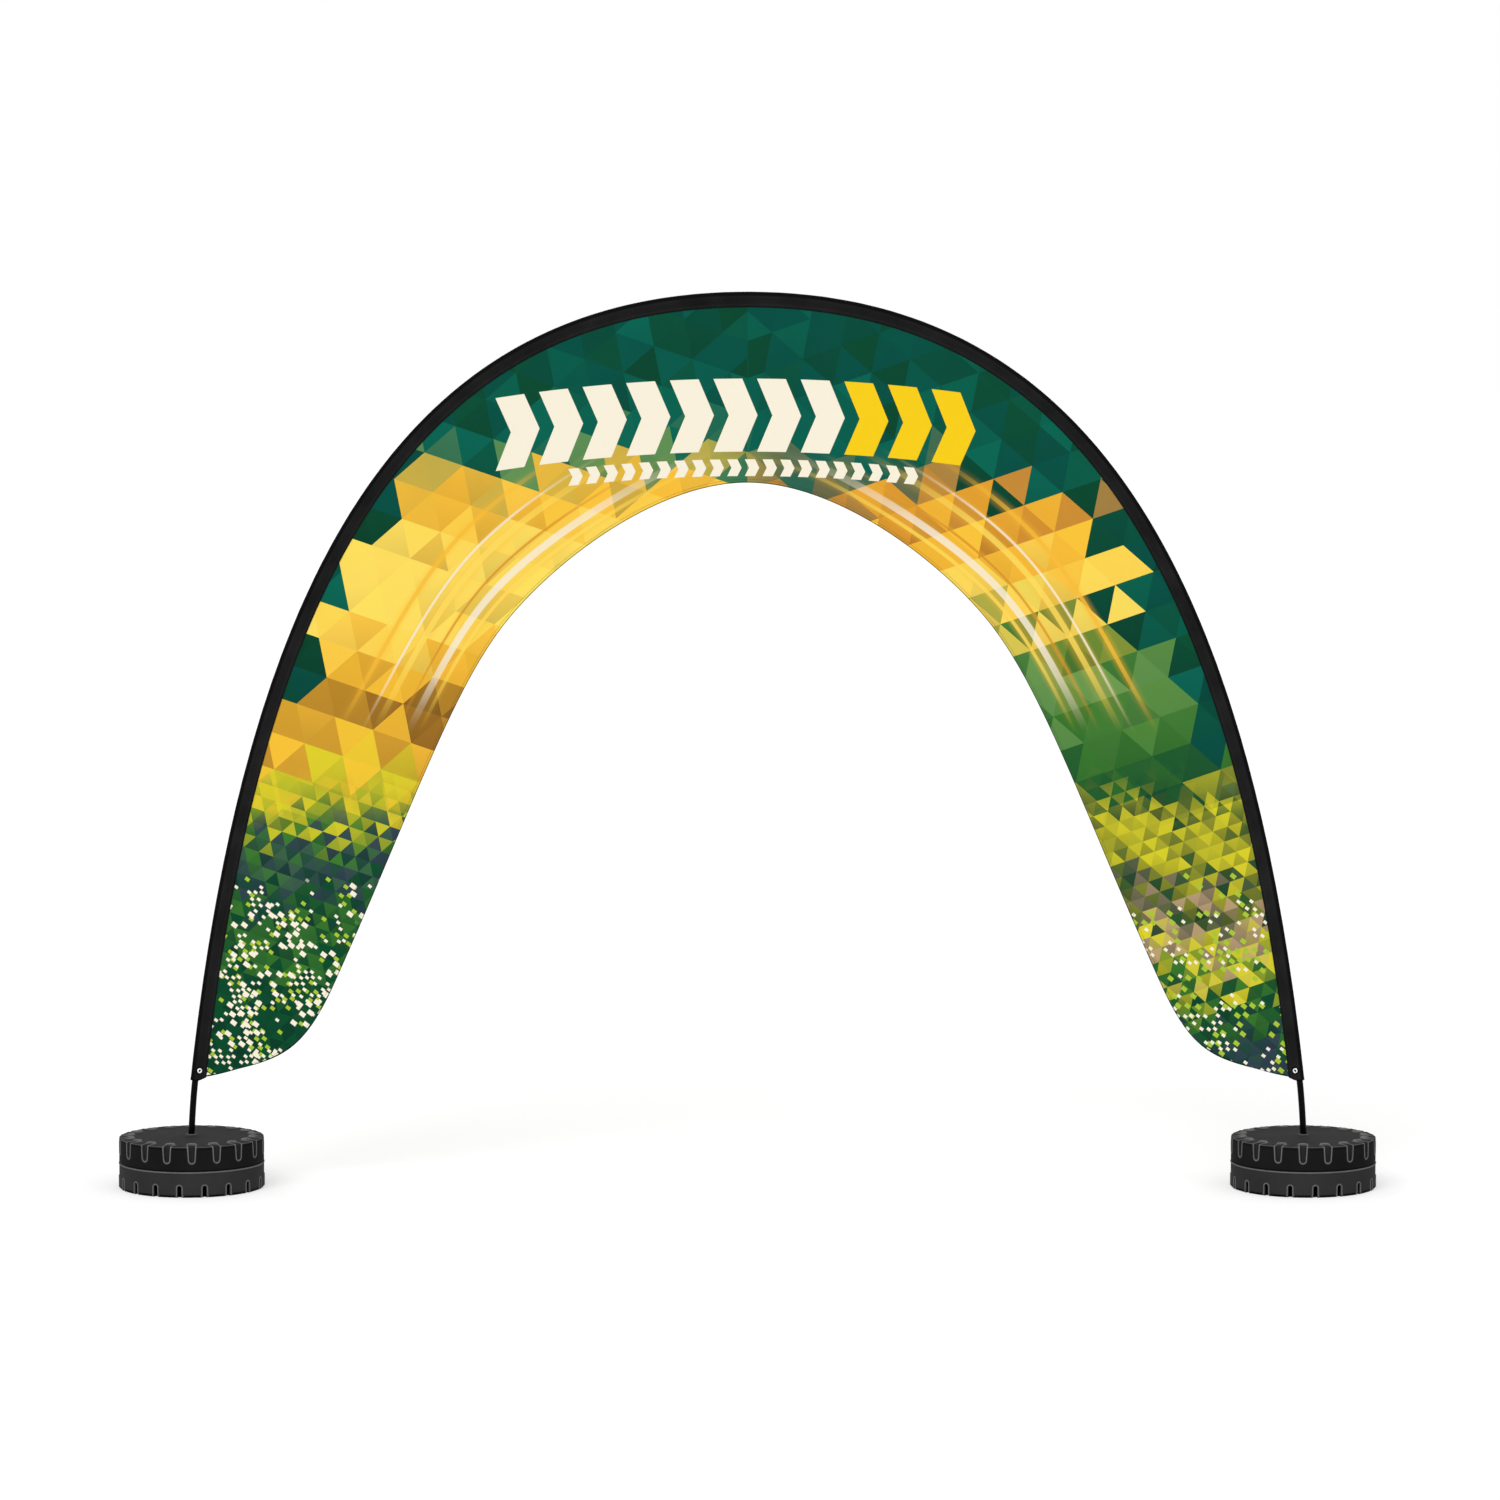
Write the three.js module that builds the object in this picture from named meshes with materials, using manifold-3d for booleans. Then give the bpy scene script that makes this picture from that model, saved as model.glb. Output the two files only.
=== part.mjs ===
// Arch flag: one printed cloth arch on a pole bent over a walk-through gateway.
// The cloth is sewn into a dark sleeve that the pole runs through, each end of the sleeve has an
// eyelet, and each foot of the pole stands in a round weighted base of two halves.
//
// Millimetres, +Z up. The origin is on the ground, midway between the two bases.
// X runs from base to base, and Y through the gateway. The flag is the same left and right of X = 0,
// so the curves are drawn for the right half only, from the crown down to the foot.

import * as THREE from 'three';
import { mergeVertices } from 'three/addons/utils/BufferGeometryUtils.js';
import Module from 'manifold-3d';

const wasm = await Module();
wasm.setup();

// ---- Driving dimensions ----

const gap = 0.3;                    // air between pieces that touch on the real thing
const archHeight = 2785;            // ground to the top of the sleeve
const footHalfSpan = 1735;          // middle to the sleeve's outer fold, at the sleeve's lower end
const sleeveFootHeight = 338;       // ground to the sleeve's lower end
const footLean = 6.6;               // degrees that the sleeve leans inwards at its lower end
const baseHalfSpan = 1733;          // middle to the axis of each base

const clothThick = 1.2;
const hemThick = 2.4;
const hemWide = 12;

const sleeveWide = 48;              // outer fold to the edge sewn on the panel
const bandWide = 12;                // flat band where both layers hold the panel
const seamDepth = 10;               // how far the panel's edge goes into the band
const pocketRadius = 12.3;          // inside of the round fold that holds the pole
const tabRise = 12.9;               // height that the rounded tab corner cuts off the sleeve's end
const tabStart = 20;                // distance from the fold at which that corner starts

const poleFootRadius = 10;
const poleCrownRadius = 6;
const poleThickRun = 1200;          // length of the thick lower stretch inside the sleeve
const poleSlack = 0.6;              // air between the pole and the fold it bears on
const poleFootLean = 3;             // degrees that the pole leans inwards in its socket
const poleFootInset = 15;           // outer fold to the pole's axis at the sleeve's lower end
const poleEaseRun = 400;            // stretch above the sleeve's end in which it leaves the fold
const socketDepth = 140;            // collar to the pole's lower end, along the pole

const baseRadius = 225;
const baseSplit = 81;               // height of the lower half
const baseRim = 158;                // ground to the top rim
const baseCrown = 162;              // ground to the top face beside the collar
const collarTop = 166;
const collarRadius = 16;
const baseTurn = 5;                 // degrees that each base's front is turned to the middle
const notchCount = 18;

const holeRadius = 4.25;            // eyelet
const eyeletUp = 32.4;              // sleeve's lower end to the eyelet's middle, along the sleeve
const eyeletInset = 25.5;           // outer fold to the eyelet's middle

const archSteps = 36;               // sections in each half of the arch
const footCrowding = 1.25;          // above 1 the sections lie closer together towards the foot
const poleSides = 10;
const baseSegments = 36;
const holeSides = 20;               // eyelets and the holes drilled for them
const socketSides = 24;
const cornerSegments = 4;           // facets in each round end of a notch or slot

// Soft troughs (+) and ridges (-) in the stretched cloth. at: place along the arch, -1 left foot,
// 0 crown, 1 right foot. width: half width on the same scale. depth: at the free edge, in mm.
const creases = [
  { at: -0.84, width: 0.09, depth: 5.0 },
  { at: -0.58, width: 0.13, depth: -4.5 },
  { at: -0.30, width: 0.11, depth: 3.5 },
  { at: 0.06, width: 0.14, depth: -4.0 },
  { at: 0.35, width: 0.12, depth: 4.0 },
  { at: 0.62, width: 0.10, depth: -5.0 },
  { at: 0.87, width: 0.08, depth: 3.5 },
];

// ---- Small helpers ----

const radians = (degrees) => (degrees * Math.PI) / 180;
const point2 = (x, z) => new THREE.Vector2(x, z);

// Direction in the XZ plane that points down and outwards, turned from straight down by an angle.
const downwards = (angle) => point2(Math.sin(angle), -Math.cos(angle));

const smooth = (t) => {
  const c = Math.min(Math.max(t, 0), 1);
  return c * c * (3 - 2 * c);
};

// A cubic between two points, each with its direction of travel and the length of its handle.
function cubic(start, startDir, startHandle, end, endDir, endHandle) {
  const leave = start.clone().addScaledVector(startDir, startHandle);
  const arrive = end.clone().addScaledVector(endDir, -endHandle);
  return new THREE.CubicBezierCurve(start, leave, arrive, end);
}

// A closed body through equal rings of points. lid lists the two ends' triangles by ring index.
function loft(rings, lid) {
  const count = rings[0].length;
  const positions = rings.flat().flatMap((p) => [p.x, p.y, p.z]);
  const faces = [];
  for (let i = 0; i + 1 < rings.length; i += 1) {
    for (let j = 0; j < count; j += 1) {
      const a = i * count + j;
      const b = i * count + ((j + 1) % count);
      faces.push(a, b, b + count, a, b + count, a + count);
    }
  }
  const last = (rings.length - 1) * count;
  for (const [a, b, c] of lid) {
    faces.push(a, c, b, last + a, last + b, last + c);
  }
  const geometry = new THREE.BufferGeometry();
  geometry.setAttribute('position', new THREE.Float32BufferAttribute(positions, 3));
  geometry.setIndex(faces);
  return facingOut(geometry);
}

// Six times the volume that a closed indexed mesh holds, negative where it is inside out.
function signedVolume(geometry) {
  const position = geometry.attributes.position;
  const index = geometry.index.array;
  const [a, b, c] = [new THREE.Vector3(), new THREE.Vector3(), new THREE.Vector3()];
  let sum = 0;
  for (let i = 0; i < index.length; i += 3) {
    a.fromBufferAttribute(position, index[i]);
    b.fromBufferAttribute(position, index[i + 1]);
    c.fromBufferAttribute(position, index[i + 2]);
    sum += a.dot(b.cross(c));
  }
  return sum;
}

function facingOut(geometry) {
  if (signedVolume(geometry) < 0) {
    geometry.setIndex(Array.from(geometry.index.array).reverse());
  }
  return geometry;
}

// Merges shared vertices and drops the flat triangles that a lathe leaves on its axis.
function welded(geometry) {
  const bare = geometry.clone();
  bare.deleteAttribute('normal');
  bare.deleteAttribute('uv');
  const merged = mergeVertices(bare, 1e-3);
  const index = merged.index.array;
  const kept = [];
  for (let i = 0; i < index.length; i += 3) {
    const [a, b, c] = [index[i], index[i + 1], index[i + 2]];
    if (a !== b && b !== c && c !== a) kept.push(a, b, c);
  }
  merged.setIndex(kept);
  return facingOut(merged);
}

function toSolid(geometry) {
  const clean = welded(geometry);
  const vertProperties = new Float32Array(clean.attributes.position.array);
  const triVerts = new Uint32Array(clean.index.array);
  return new wasm.Manifold(new wasm.Mesh({ numProp: 3, vertProperties, triVerts }));
}

function fromSolid(solid) {
  const mesh = solid.getMesh();
  const geometry = new THREE.BufferGeometry();
  geometry.setAttribute('position', new THREE.Float32BufferAttribute(mesh.vertProperties, 3));
  geometry.setIndex(Array.from(mesh.triVerts));
  return geometry;
}

// A lathe profile of [radius, height] pairs, turned about +Z.
function turned(profile, segments) {
  const points = profile.map(([radius, height]) => point2(radius, height));
  return welded(new THREE.LatheGeometry(points, segments).rotateX(Math.PI / 2));
}

// ---- The two edges of the cloth, right half ----

const across = point2(1, 0);
const crownTop = point2(0, archHeight);
const sleeveFoot = point2(footHalfSpan, sleeveFootHeight);

// Outer fold of the sleeve: level at the crown, leaning in by footLean at the foot.
const crownHandle = 1047;
const footHandle = 1610;
const footDir = downwards(radians(footLean));
const outerFold = cubic(crownTop, across, crownHandle, sleeveFoot, footDir, footHandle);
outerFold.arcLengthDivisions = 800;
const foldLength = outerFold.getLength();

// Free edge of the panel round the gateway, from the crown down to the lobe. lean: degrees that the
// edge is turned from straight down, 90 being level. before, after: handles on each side of a row.
const freeEdgeRows = [
  { x: 0, z: 2196.5, lean: 90, before: 0, after: 287 },
  { x: 757, z: 1751, lean: 37.5, before: 237, after: 271 },
  { x: 1283, z: 641, lean: 24.3, before: 574, after: 225 },
  { x: 1587, z: 369, lean: 76.3, before: 151, after: 0 },
];
const freeEdge = new THREE.CurvePath();
for (let i = 1; i < freeEdgeRows.length; i += 1) {
  const [a, b] = [freeEdgeRows[i - 1], freeEdgeRows[i]];
  const [leaving, arriving] = [downwards(radians(a.lean)), downwards(radians(b.lean))];
  freeEdge.add(cubic(point2(a.x, a.z), leaving, a.after, point2(b.x, b.z), arriving, b.before));
}
freeEdge.arcLengthDivisions = 800;

// A place in the sleeve: fall is the distance from the crown along the fold, inset the distance
// in from the fold towards the gateway, y the depth, and side 1 for right or -1 for left.
function inSleeve(side, fall, inset, y) {
  const part = Math.min(Math.max(fall / foldLength, 0), 1);
  const p = outerFold.getPointAt(part);
  const t = outerFold.getTangentAt(part);
  return new THREE.Vector3(side * (p.x + inset * t.y), y, p.y - inset * t.x);
}

// Sections of one half as shares of its length, closer together towards the foot.
const halfSections = Array.from(
  { length: archSteps + 1 },
  (_, i) => 1 - (1 - i / archSteps) ** footCrowding,
);

// All sections from the left foot over the crown to the right foot.
const sections = [
  ...halfSections.slice(1).reverse().map((share) => ({ side: -1, share })),
  ...halfSections.map((share) => ({ side: 1, share })),
];

// ---- Sleeve: one strip folded round the pole, its two layers meeting in a flat band ----

const foldCentre = clothThick + pocketRadius;       // inset of the round fold's centre
const bandStart = sleeveWide - bandWide;
const bandInner = clothThick / 2 + gap;             // inner face of a layer, from the middle plane
const bandOuter = bandInner + clothThick;

// Slope of the layers between the round fold and the band.
const forkReach = Math.hypot(bandStart - foldCentre, bandInner);
const forkSlope = Math.asin(pocketRadius / forkReach)
  - Math.atan2(bandInner, bandStart - foldCentre);

// One face of the strip, back layer first, as [inset, y] pairs.
function hairpin(radius, bandY, steps) {
  const bend = foldCentre + (radius - bandY * Math.cos(forkSlope)) / Math.sin(forkSlope);
  const start = Math.PI / 2 - forkSlope;
  const sweep = Math.PI + 2 * forkSlope;
  const face = [[sleeveWide, bandY], [bend, bandY]];
  for (let k = 0; k <= steps; k += 1) {
    const angle = start + (sweep * k) / steps;
    face.push([foldCentre + radius * Math.cos(angle), radius * Math.sin(angle)]);
  }
  face.push([bend, -bandY], [sleeveWide, -bandY]);
  return face;
}

const foldSteps = 10;
const sleeveSection = [
  ...hairpin(pocketRadius, bandInner, foldSteps),
  ...hairpin(pocketRadius + clothThick, bandOuter, foldSteps).reverse(),
];

const tabPower = 1.6;     // above 1 the tab's corner is rounder
const tabBlend = 90;      // length of sleeve over which the sections follow that corner

// The sleeve's end is square at the fold and rises in a rounded corner towards the panel.
function tabCut(inset) {
  const t = Math.max(inset - tabStart, 0) / (sleeveWide - tabStart);
  return tabRise * t ** tabPower;
}

function sleeveRing({ side, share }) {
  const fall = share * foldLength;
  const near = 1 - Math.min((foldLength - fall) / tabBlend, 1);
  return sleeveSection.map(([inset, y]) => inSleeve(side, fall - near * tabCut(inset), inset, y));
}

// Middle of an eyelet on the inner face of the front layer, and the way that layer faces.
const eyeletFall = foldLength - eyeletUp;
const eyeletY = -(pocketRadius - (eyeletInset - foldCentre) * Math.sin(forkSlope))
  / Math.cos(forkSlope);

function eyeletSeat(side) {
  const middle = inSleeve(side, eyeletFall, eyeletInset, eyeletY);
  const inwards = inSleeve(side, eyeletFall, eyeletInset + 1, eyeletY).sub(middle);
  const outwards = inwards.multiplyScalar(Math.sin(forkSlope));
  outwards.y = -Math.cos(forkSlope);
  const turn = new THREE.Quaternion().setFromUnitVectors(new THREE.Vector3(0, 0, 1), outwards);
  return { middle, turn };
}

const barrelRadius = holeRadius + 0.7;
const drillRadius = barrelRadius + gap;
const drillLength = 5;              // through the front layer alone, clear of the back layer

function sleeveGeometry() {
  const outline = sleeveSection.map(([inset, y]) => point2(inset, y));
  const cut = THREE.ShapeUtils.triangulateShape(outline, []);
  const lid = THREE.ShapeUtils.isClockWise(outline) ? cut.map((face) => face.reverse()) : cut;
  let solid = toSolid(loft(sections.map(sleeveRing), lid));
  for (const side of [-1, 1]) {
    const { middle, turn } = eyeletSeat(side);
    const drill = new THREE.CylinderGeometry(drillRadius, drillRadius, drillLength, holeSides);
    drill.rotateX(Math.PI / 2).applyQuaternion(turn).translate(middle.x, middle.y, middle.z);
    solid = solid.subtract(toSolid(drill));
  }
  return fromSolid(solid);
}

// ---- Panel: the printed cloth, one thin sheet with a turned hem on its free edge ----

const seamInset = sleeveWide - seamDepth;
const seamStop = 12;            // the panel's corner stops this far above the sleeve's end
const footSag = 2;              // dip of the short lower edge between the sleeve and the lobe
const sagReach = 60;            // distance up the sleeve at which that dip has faded to a third
const seamFlat = 16;            // width held flat in and beside the sleeve
const innerCells = 5;           // cells across the open cloth

function creaseDepth(place, share) {
  const depth = creases.reduce(
    (sum, crease) => sum + crease.depth * Math.exp(-(((place - crease.at) / crease.width) ** 2)),
    0,
  );
  return depth * smooth(share);
}

// Widths from the seam at which the sheet has points, and its thickness at each.
function panelStops(width) {
  const hemTop = width - hemWide - clothThick;
  const stops = [{ at: 0, thick: clothThick }];
  for (let k = 0; k <= innerCells; k += 1) {
    stops.push({ at: seamFlat + ((hemTop - seamFlat) * k) / innerCells, thick: clothThick });
  }
  stops.push({ at: width - hemWide, thick: hemThick });
  stops.push({ at: width, thick: hemThick });
  return stops;
}

function panelRing({ side, share }) {
  const seam = inSleeve(side, share * (foldLength - seamStop), seamInset, 0);
  const edge = freeEdge.getPointAt(share);
  const free = new THREE.Vector3(side * edge.x, 0, edge.y);
  const width = seam.distanceTo(free);
  const sag = footSag * Math.exp(-((1 - share) * foldLength) / sagReach);
  const front = [];
  const back = [];
  for (const { at, thick } of panelStops(width)) {
    const t = at / width;
    const p = seam.clone().lerp(free, t);
    p.z -= sag * 4 * t * (1 - t);
    p.y = creaseDepth(side * share, (at - seamFlat) / (width - seamFlat));
    front.push(p.clone().setY(p.y - thick / 2));
    back.push(p.clone().setY(p.y + thick / 2));
  }
  return [...front, ...back.reverse()];
}

function panelGeometry() {
  const rings = sections.map(panelRing);
  const half = rings[0].length / 2;
  const lid = [];
  for (let k = 0; k + 1 < half; k += 1) {
    const far = 2 * half - 1 - k;
    lid.push([k, k + 1, far - 1], [k, far - 1, far]);
  }
  return loft(rings, lid);
}

// ---- Pole: one smooth rod from socket to socket, thick at the feet and thinner at the crown ----

const poleDrop = downwards(radians(poleFootLean));
const poleEntry = point2(baseHalfSpan, collarTop);
const bareHandle = 55;              // at both ends of the bare stretch from the sleeve to the collar
const bareSteps = 4;

// Stations of the right half, from the crown down: hidden in the sleeve, bare, and in the socket.
function poleHalf() {
  const hidden = halfSections.map((share) => {
    const up = (1 - share) * foldLength;
    const thin = smooth((up - poleThickRun) / (foldLength - poleThickRun));
    const radius = poleFootRadius + (poleCrownRadius - poleFootRadius) * thin;
    const bearing = clothThick + poleSlack + radius;
    const leaving = Math.max(poleFootInset - bearing, 0) * (1 - smooth(up / poleEaseRun));
    const p = inSleeve(1, share * foldLength, bearing + leaving, 0);
    return { x: p.x, z: p.z, radius };
  });
  const last = hidden[hidden.length - 1];
  const mouth = point2(last.x, last.z);
  const curve = cubic(mouth, footDir, bareHandle, poleEntry, poleDrop, bareHandle);
  const bare = curve.getPoints(bareSteps).slice(1);
  const end = poleEntry.clone().addScaledVector(poleDrop, socketDepth);
  const exposed = [...bare, end].map((p) => ({ x: p.x, z: p.y, radius: poleFootRadius }));
  return [...hidden, ...exposed];
}

function poleGeometry() {
  const half = poleHalf();
  const mirrored = half.slice(1).reverse().map((p) => ({ ...p, x: -p.x }));
  const line = [...mirrored, ...half];
  const rings = line.map((p, i) => {
    const before = line[Math.max(i - 1, 0)];
    const after = line[Math.min(i + 1, line.length - 1)];
    const way = point2(after.x - before.x, after.z - before.z).normalize();
    return Array.from({ length: poleSides }, (_, k) => {
      const angle = (2 * Math.PI * k) / poleSides;
      const out = p.radius * Math.cos(angle);
      return new THREE.Vector3(p.x - out * way.y, p.radius * Math.sin(angle), p.z + out * way.x);
    });
  });
  const lid = Array.from({ length: poleSides - 2 }, (_, k) => [0, k + 1, k + 2]);
  return loft(rings, lid);
}

// ---- Eyelet: a turned metal ring clamped on the sleeve's front layer ----

const rimRadius = 8.3;
const rimThick = 1.0;
const rimRound = 0.3;               // outer edge of the rim
const rimSlope = 1.2;               // outer edge of the rim to its crest
const mouthRound = 0.8;             // inner edge of the rim
const backRadius = 6.5;
const backThick = 0.5;

// The seat lies on the layer's inner face, and the cloth is between heights 0 and clothThick.
function eyeletGeometry() {
  const top = clothThick + gap + rimThick;
  const low = -gap - backThick;
  const profile = [
    [holeRadius, low],
    [backRadius, low],
    [backRadius, -gap],
    [barrelRadius, -gap],
    [barrelRadius, clothThick + gap],
    [rimRadius, clothThick + gap],
    [rimRadius - rimRound, top - rimRound],
    [rimRadius - rimSlope, top],
    [holeRadius + mouthRound, top],
    [holeRadius, top - mouthRound],
    [holeRadius, low],
  ];
  return turned(profile, holeSides);
}

// ---- Bases: two stacked round halves with notches in the top rim and slots in the foot ----

const notchDepth = 8;               // into the side
const notchSink = 2.5;              // into the top
const notchTopHalf = 13;            // half width at the rim
const notchLowHalf = 9;             // half width at the rounded lower end
const notchDrop = 49;               // rim to the notch's lower end
const notchReach = 38;              // how far the notch runs in over the top
const slotHalf = 6.5;
const slotHeight = 37;
const slotDepth = 16;
const standOut = 10;                // how far a cutter reaches out past the surface it cuts
const socketRadius = poleFootRadius + gap + 0.1;    // the flats of its facets still clear the pole
const edgeRound = 3.5;              // bevel on the rim and on the lower half's top edge
const seamBevel = 2;                // bevel on the upper half's lower edge
const footBevel = 8;
const rimBand = 12;                 // rim's outer edge to the inner end of its flat band
const troughReach = 20;             // rim's outer edge to the shallow trough
const troughDip = 2.5;
const crownReach = 100;             // base's axis to where the crowned top levels out
const crownDip = 1.5;

// A shape drawn in the tangent and height directions, cut radially inwards by depth.
function radialCutter(shape, depth) {
  const cutter = new THREE.ExtrudeGeometry(shape, {
    depth: depth + standOut,
    bevelEnabled: false,
    curveSegments: cornerSegments,
  });
  return cutter.rotateX(Math.PI / 2).rotateZ(Math.PI / 2).translate(baseRadius - depth, 0, 0);
}

function notchCutter() {
  const side = new THREE.Shape();
  side.moveTo(-notchTopHalf, baseRim + standOut);
  side.lineTo(-notchLowHalf, baseRim - notchDrop + notchLowHalf);
  side.absarc(0, baseRim - notchDrop + notchLowHalf, notchLowHalf, Math.PI, 2 * Math.PI, false);
  side.lineTo(notchTopHalf, baseRim + standOut);
  const over = new THREE.Shape();
  over.moveTo(baseRadius + standOut, notchTopHalf);
  over.absarc(
    baseRadius - notchReach + notchTopHalf, 0, notchTopHalf, Math.PI / 2, 1.5 * Math.PI, false,
  );
  over.lineTo(baseRadius + standOut, -notchTopHalf);
  const top = new THREE.ExtrudeGeometry(over, {
    depth: notchSink + standOut,
    bevelEnabled: false,
    curveSegments: cornerSegments,
  });
  top.translate(0, 0, baseRim - notchSink);
  return toSolid(radialCutter(side, notchDepth)).add(toSolid(top));
}

function slotCutter() {
  const arch = new THREE.Shape();
  arch.moveTo(-slotHalf, -standOut);
  arch.lineTo(slotHalf, -standOut);
  arch.lineTo(slotHalf, slotHeight - slotHalf);
  arch.absarc(0, slotHeight - slotHalf, slotHalf, 0, Math.PI, false);
  return toSolid(radialCutter(arch, slotDepth));
}

// Cuts one shape all round, the first at firstTurn degrees from +X.
function cutRound(solid, cutter, firstTurn) {
  let result = solid;
  for (let k = 0; k < notchCount; k += 1) {
    const degrees = firstTurn + (360 * k) / notchCount;
    result = result.subtract(cutter.rotate([0, 0, degrees]));
  }
  return result;
}

// The pole's socket, from the pole's lower end up through the collar, about the base's own axis.
function socketCutter(side) {
  const length = socketDepth + gap + standOut;
  const bore = new THREE.CylinderGeometry(socketRadius, socketRadius, length, socketSides);
  bore.rotateX(Math.PI / 2).translate(0, 0, standOut - length / 2);
  bore.rotateY(-side * radians(poleFootLean)).translate(0, 0, collarTop);
  return toSolid(bore);
}

const upperProfile = [
  [0, baseSplit + gap],
  [baseRadius - seamBevel, baseSplit + gap],
  [baseRadius, baseSplit + gap + seamBevel],
  [baseRadius, baseRim - edgeRound],
  [baseRadius - edgeRound, baseRim],
  [baseRadius - rimBand, baseRim],
  [baseRadius - troughReach, baseRim - troughDip],
  [crownReach, baseCrown - crownDip],
  [collarRadius, baseCrown],
  [collarRadius, collarTop],
  [0, collarTop],
];

const lowerProfile = [
  [0, 0],
  [baseRadius - footBevel, 0],
  [baseRadius, footBevel],
  [baseRadius, baseSplit - edgeRound],
  [baseRadius - edgeRound, baseSplit],
  [0, baseSplit],
];

// Both halves of one base, about the base's own axis.
function baseHalves(side) {
  const front = -90 - side * baseTurn;
  const half = 180 / notchCount;
  const socket = socketCutter(side);
  const upper = toSolid(turned(upperProfile, baseSegments)).subtract(socket);
  const lower = toSolid(turned(lowerProfile, baseSegments)).subtract(socket);
  return {
    upper: fromSolid(cutRound(upper, notchCutter(), front)),
    lower: fromSolid(cutRound(lower, slotCutter(), front + half)),
  };
}

// ---- Materials ----

const material = (color, roughness, metalness) => new THREE.MeshStandardMaterial({
  color,
  roughness,
  metalness,
});
const printedCloth = material(0x2f8f6a, 0.75, 0);
const sleeveCloth = material(0x232324, 0.8, 0);
const blackPole = material(0x0c0c0d, 0.35, 0.2);
const brightMetal = material(0xdcdde0, 0.25, 1);
const upperShell = material(0x262728, 0.55, 0);
const lowerShell = material(0x3a3b3c, 0.6, 0);

// ---- Assembly ----

const archFlag = new THREE.Group();

function addPiece(name, geometry, finish, parent = archFlag) {
  const piece = new THREE.Mesh(geometry, finish);
  piece.name = name;
  parent.add(piece);
  return piece;
}

addPiece('panel', panelGeometry(), printedCloth);
addPiece('sleeve', sleeveGeometry(), sleeveCloth);
addPiece('pole', poleGeometry(), blackPole);

for (const [word, side] of [['left', -1], ['right', 1]]) {
  const { middle, turn } = eyeletSeat(side);
  const eyelet = addPiece(`eyelet_${word}`, eyeletGeometry(), brightMetal);
  eyelet.position.copy(middle);
  eyelet.quaternion.copy(turn);

  const base = new THREE.Group();
  base.position.x = side * baseHalfSpan;
  archFlag.add(base);
  const { upper, lower } = baseHalves(side);
  addPiece(`base_${word}_upper`, upper, upperShell, base);
  addPiece(`base_${word}_lower`, lower, lowerShell, base);
}

export default archFlag;
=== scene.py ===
"""Arch flag: the finished look of its cloth arch, pole sleeve, pole, eyelets and weighted bases.

Metres, +Z up. The origin is on the ground, midway between the two bases. X runs from base to base,
and Y through the gateway, with the front towards -Y. The flag is the same left and right of X = 0, so
its curves are worked out for the right half, from the crown down to the foot, and mirrored.
"""

import math

import bpy
import numpy as np
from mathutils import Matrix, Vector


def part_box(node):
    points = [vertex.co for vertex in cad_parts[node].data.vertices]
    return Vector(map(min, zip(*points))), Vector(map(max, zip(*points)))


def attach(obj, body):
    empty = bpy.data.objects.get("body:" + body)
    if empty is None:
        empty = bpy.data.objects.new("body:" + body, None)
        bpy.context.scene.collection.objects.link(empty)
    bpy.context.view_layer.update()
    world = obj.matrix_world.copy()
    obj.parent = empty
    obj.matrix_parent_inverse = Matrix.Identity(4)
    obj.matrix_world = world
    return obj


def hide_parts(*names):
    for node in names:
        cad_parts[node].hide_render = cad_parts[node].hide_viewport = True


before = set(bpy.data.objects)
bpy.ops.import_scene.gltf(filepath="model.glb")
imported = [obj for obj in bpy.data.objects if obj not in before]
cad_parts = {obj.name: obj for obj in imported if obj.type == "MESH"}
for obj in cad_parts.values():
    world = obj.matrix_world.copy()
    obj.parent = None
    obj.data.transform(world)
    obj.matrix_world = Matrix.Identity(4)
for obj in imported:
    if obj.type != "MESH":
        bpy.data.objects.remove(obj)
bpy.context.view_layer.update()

MM = 0.001

# ---- Sizes of the cloth: those that meet the solids are read from the frame ----

SLEEVE_LOW, SLEEVE_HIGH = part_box("sleeve")
ARCH_HEIGHT = SLEEVE_HIGH.z
FOOT_HALF_SPAN = SLEEVE_HIGH.x
SLEEVE_FOOT = SLEEVE_LOW.z
FOOT_LEAN = math.radians(6.6)  # outer fold from upright at the feet
CROWN_HANDLE = 1047 * MM       # handles of the outer fold's cubic
FOOT_HANDLE = 1610 * MM

SLEEVE_WIDE = 48 * MM          # outer fold to the edge sewn on the panel
BAND_WIDE = 12 * MM            # flat band where both layers hold the panel
BAND_MID = 1.5 * MM            # middle plane to the middle of a layer of the band
SLEEVE_CLOTH = 0.9 * MM
SOLID_HALF_CLOTH = 0.6 * MM    # half the thickness that the sleeve has in the frame
FOLD_RADIUS = 12.9 * MM        # middle of the cloth round the pole
FOLD_CENTRE = 13.5 * MM        # outer fold to the centre of that round fold
TAB_RISE = 12.9 * MM           # height that the rounded tab corner cuts off the sleeve's end
TAB_START = 20 * MM            # outer fold to where that corner starts
TAB_POWER = 1.6                # its roundness, where 1 is a straight cut
TAB_BLEND = 90 * MM            # length of sleeve over which its cross lines ease into the corner

SEAM_INSET = 38 * MM           # outer fold to the panel's edge inside the band
SEAM_STOP = 12 * MM            # sleeve's end to the panel's end
FOOT_SAG = 2 * MM              # dip of the cloth's lower edge at each foot
SAG_REACH = 60 * MM            # length up from the foot in which the dip fades
SEAM_FLAT = 16 * MM            # panel's edge to where the creases start
PANEL_CLOTH = 0.9 * MM
HEM_CLOTH = 2.0 * MM
HEM_WIDE = 12 * MM
THIN_EDGE = 12 * MM            # strip of the panel, from its seam edge, kept thin to lie in the band
PUCKER_HIGH = 0.5 * MM
RIPPLE_HIGH = 0.35 * MM

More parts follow.
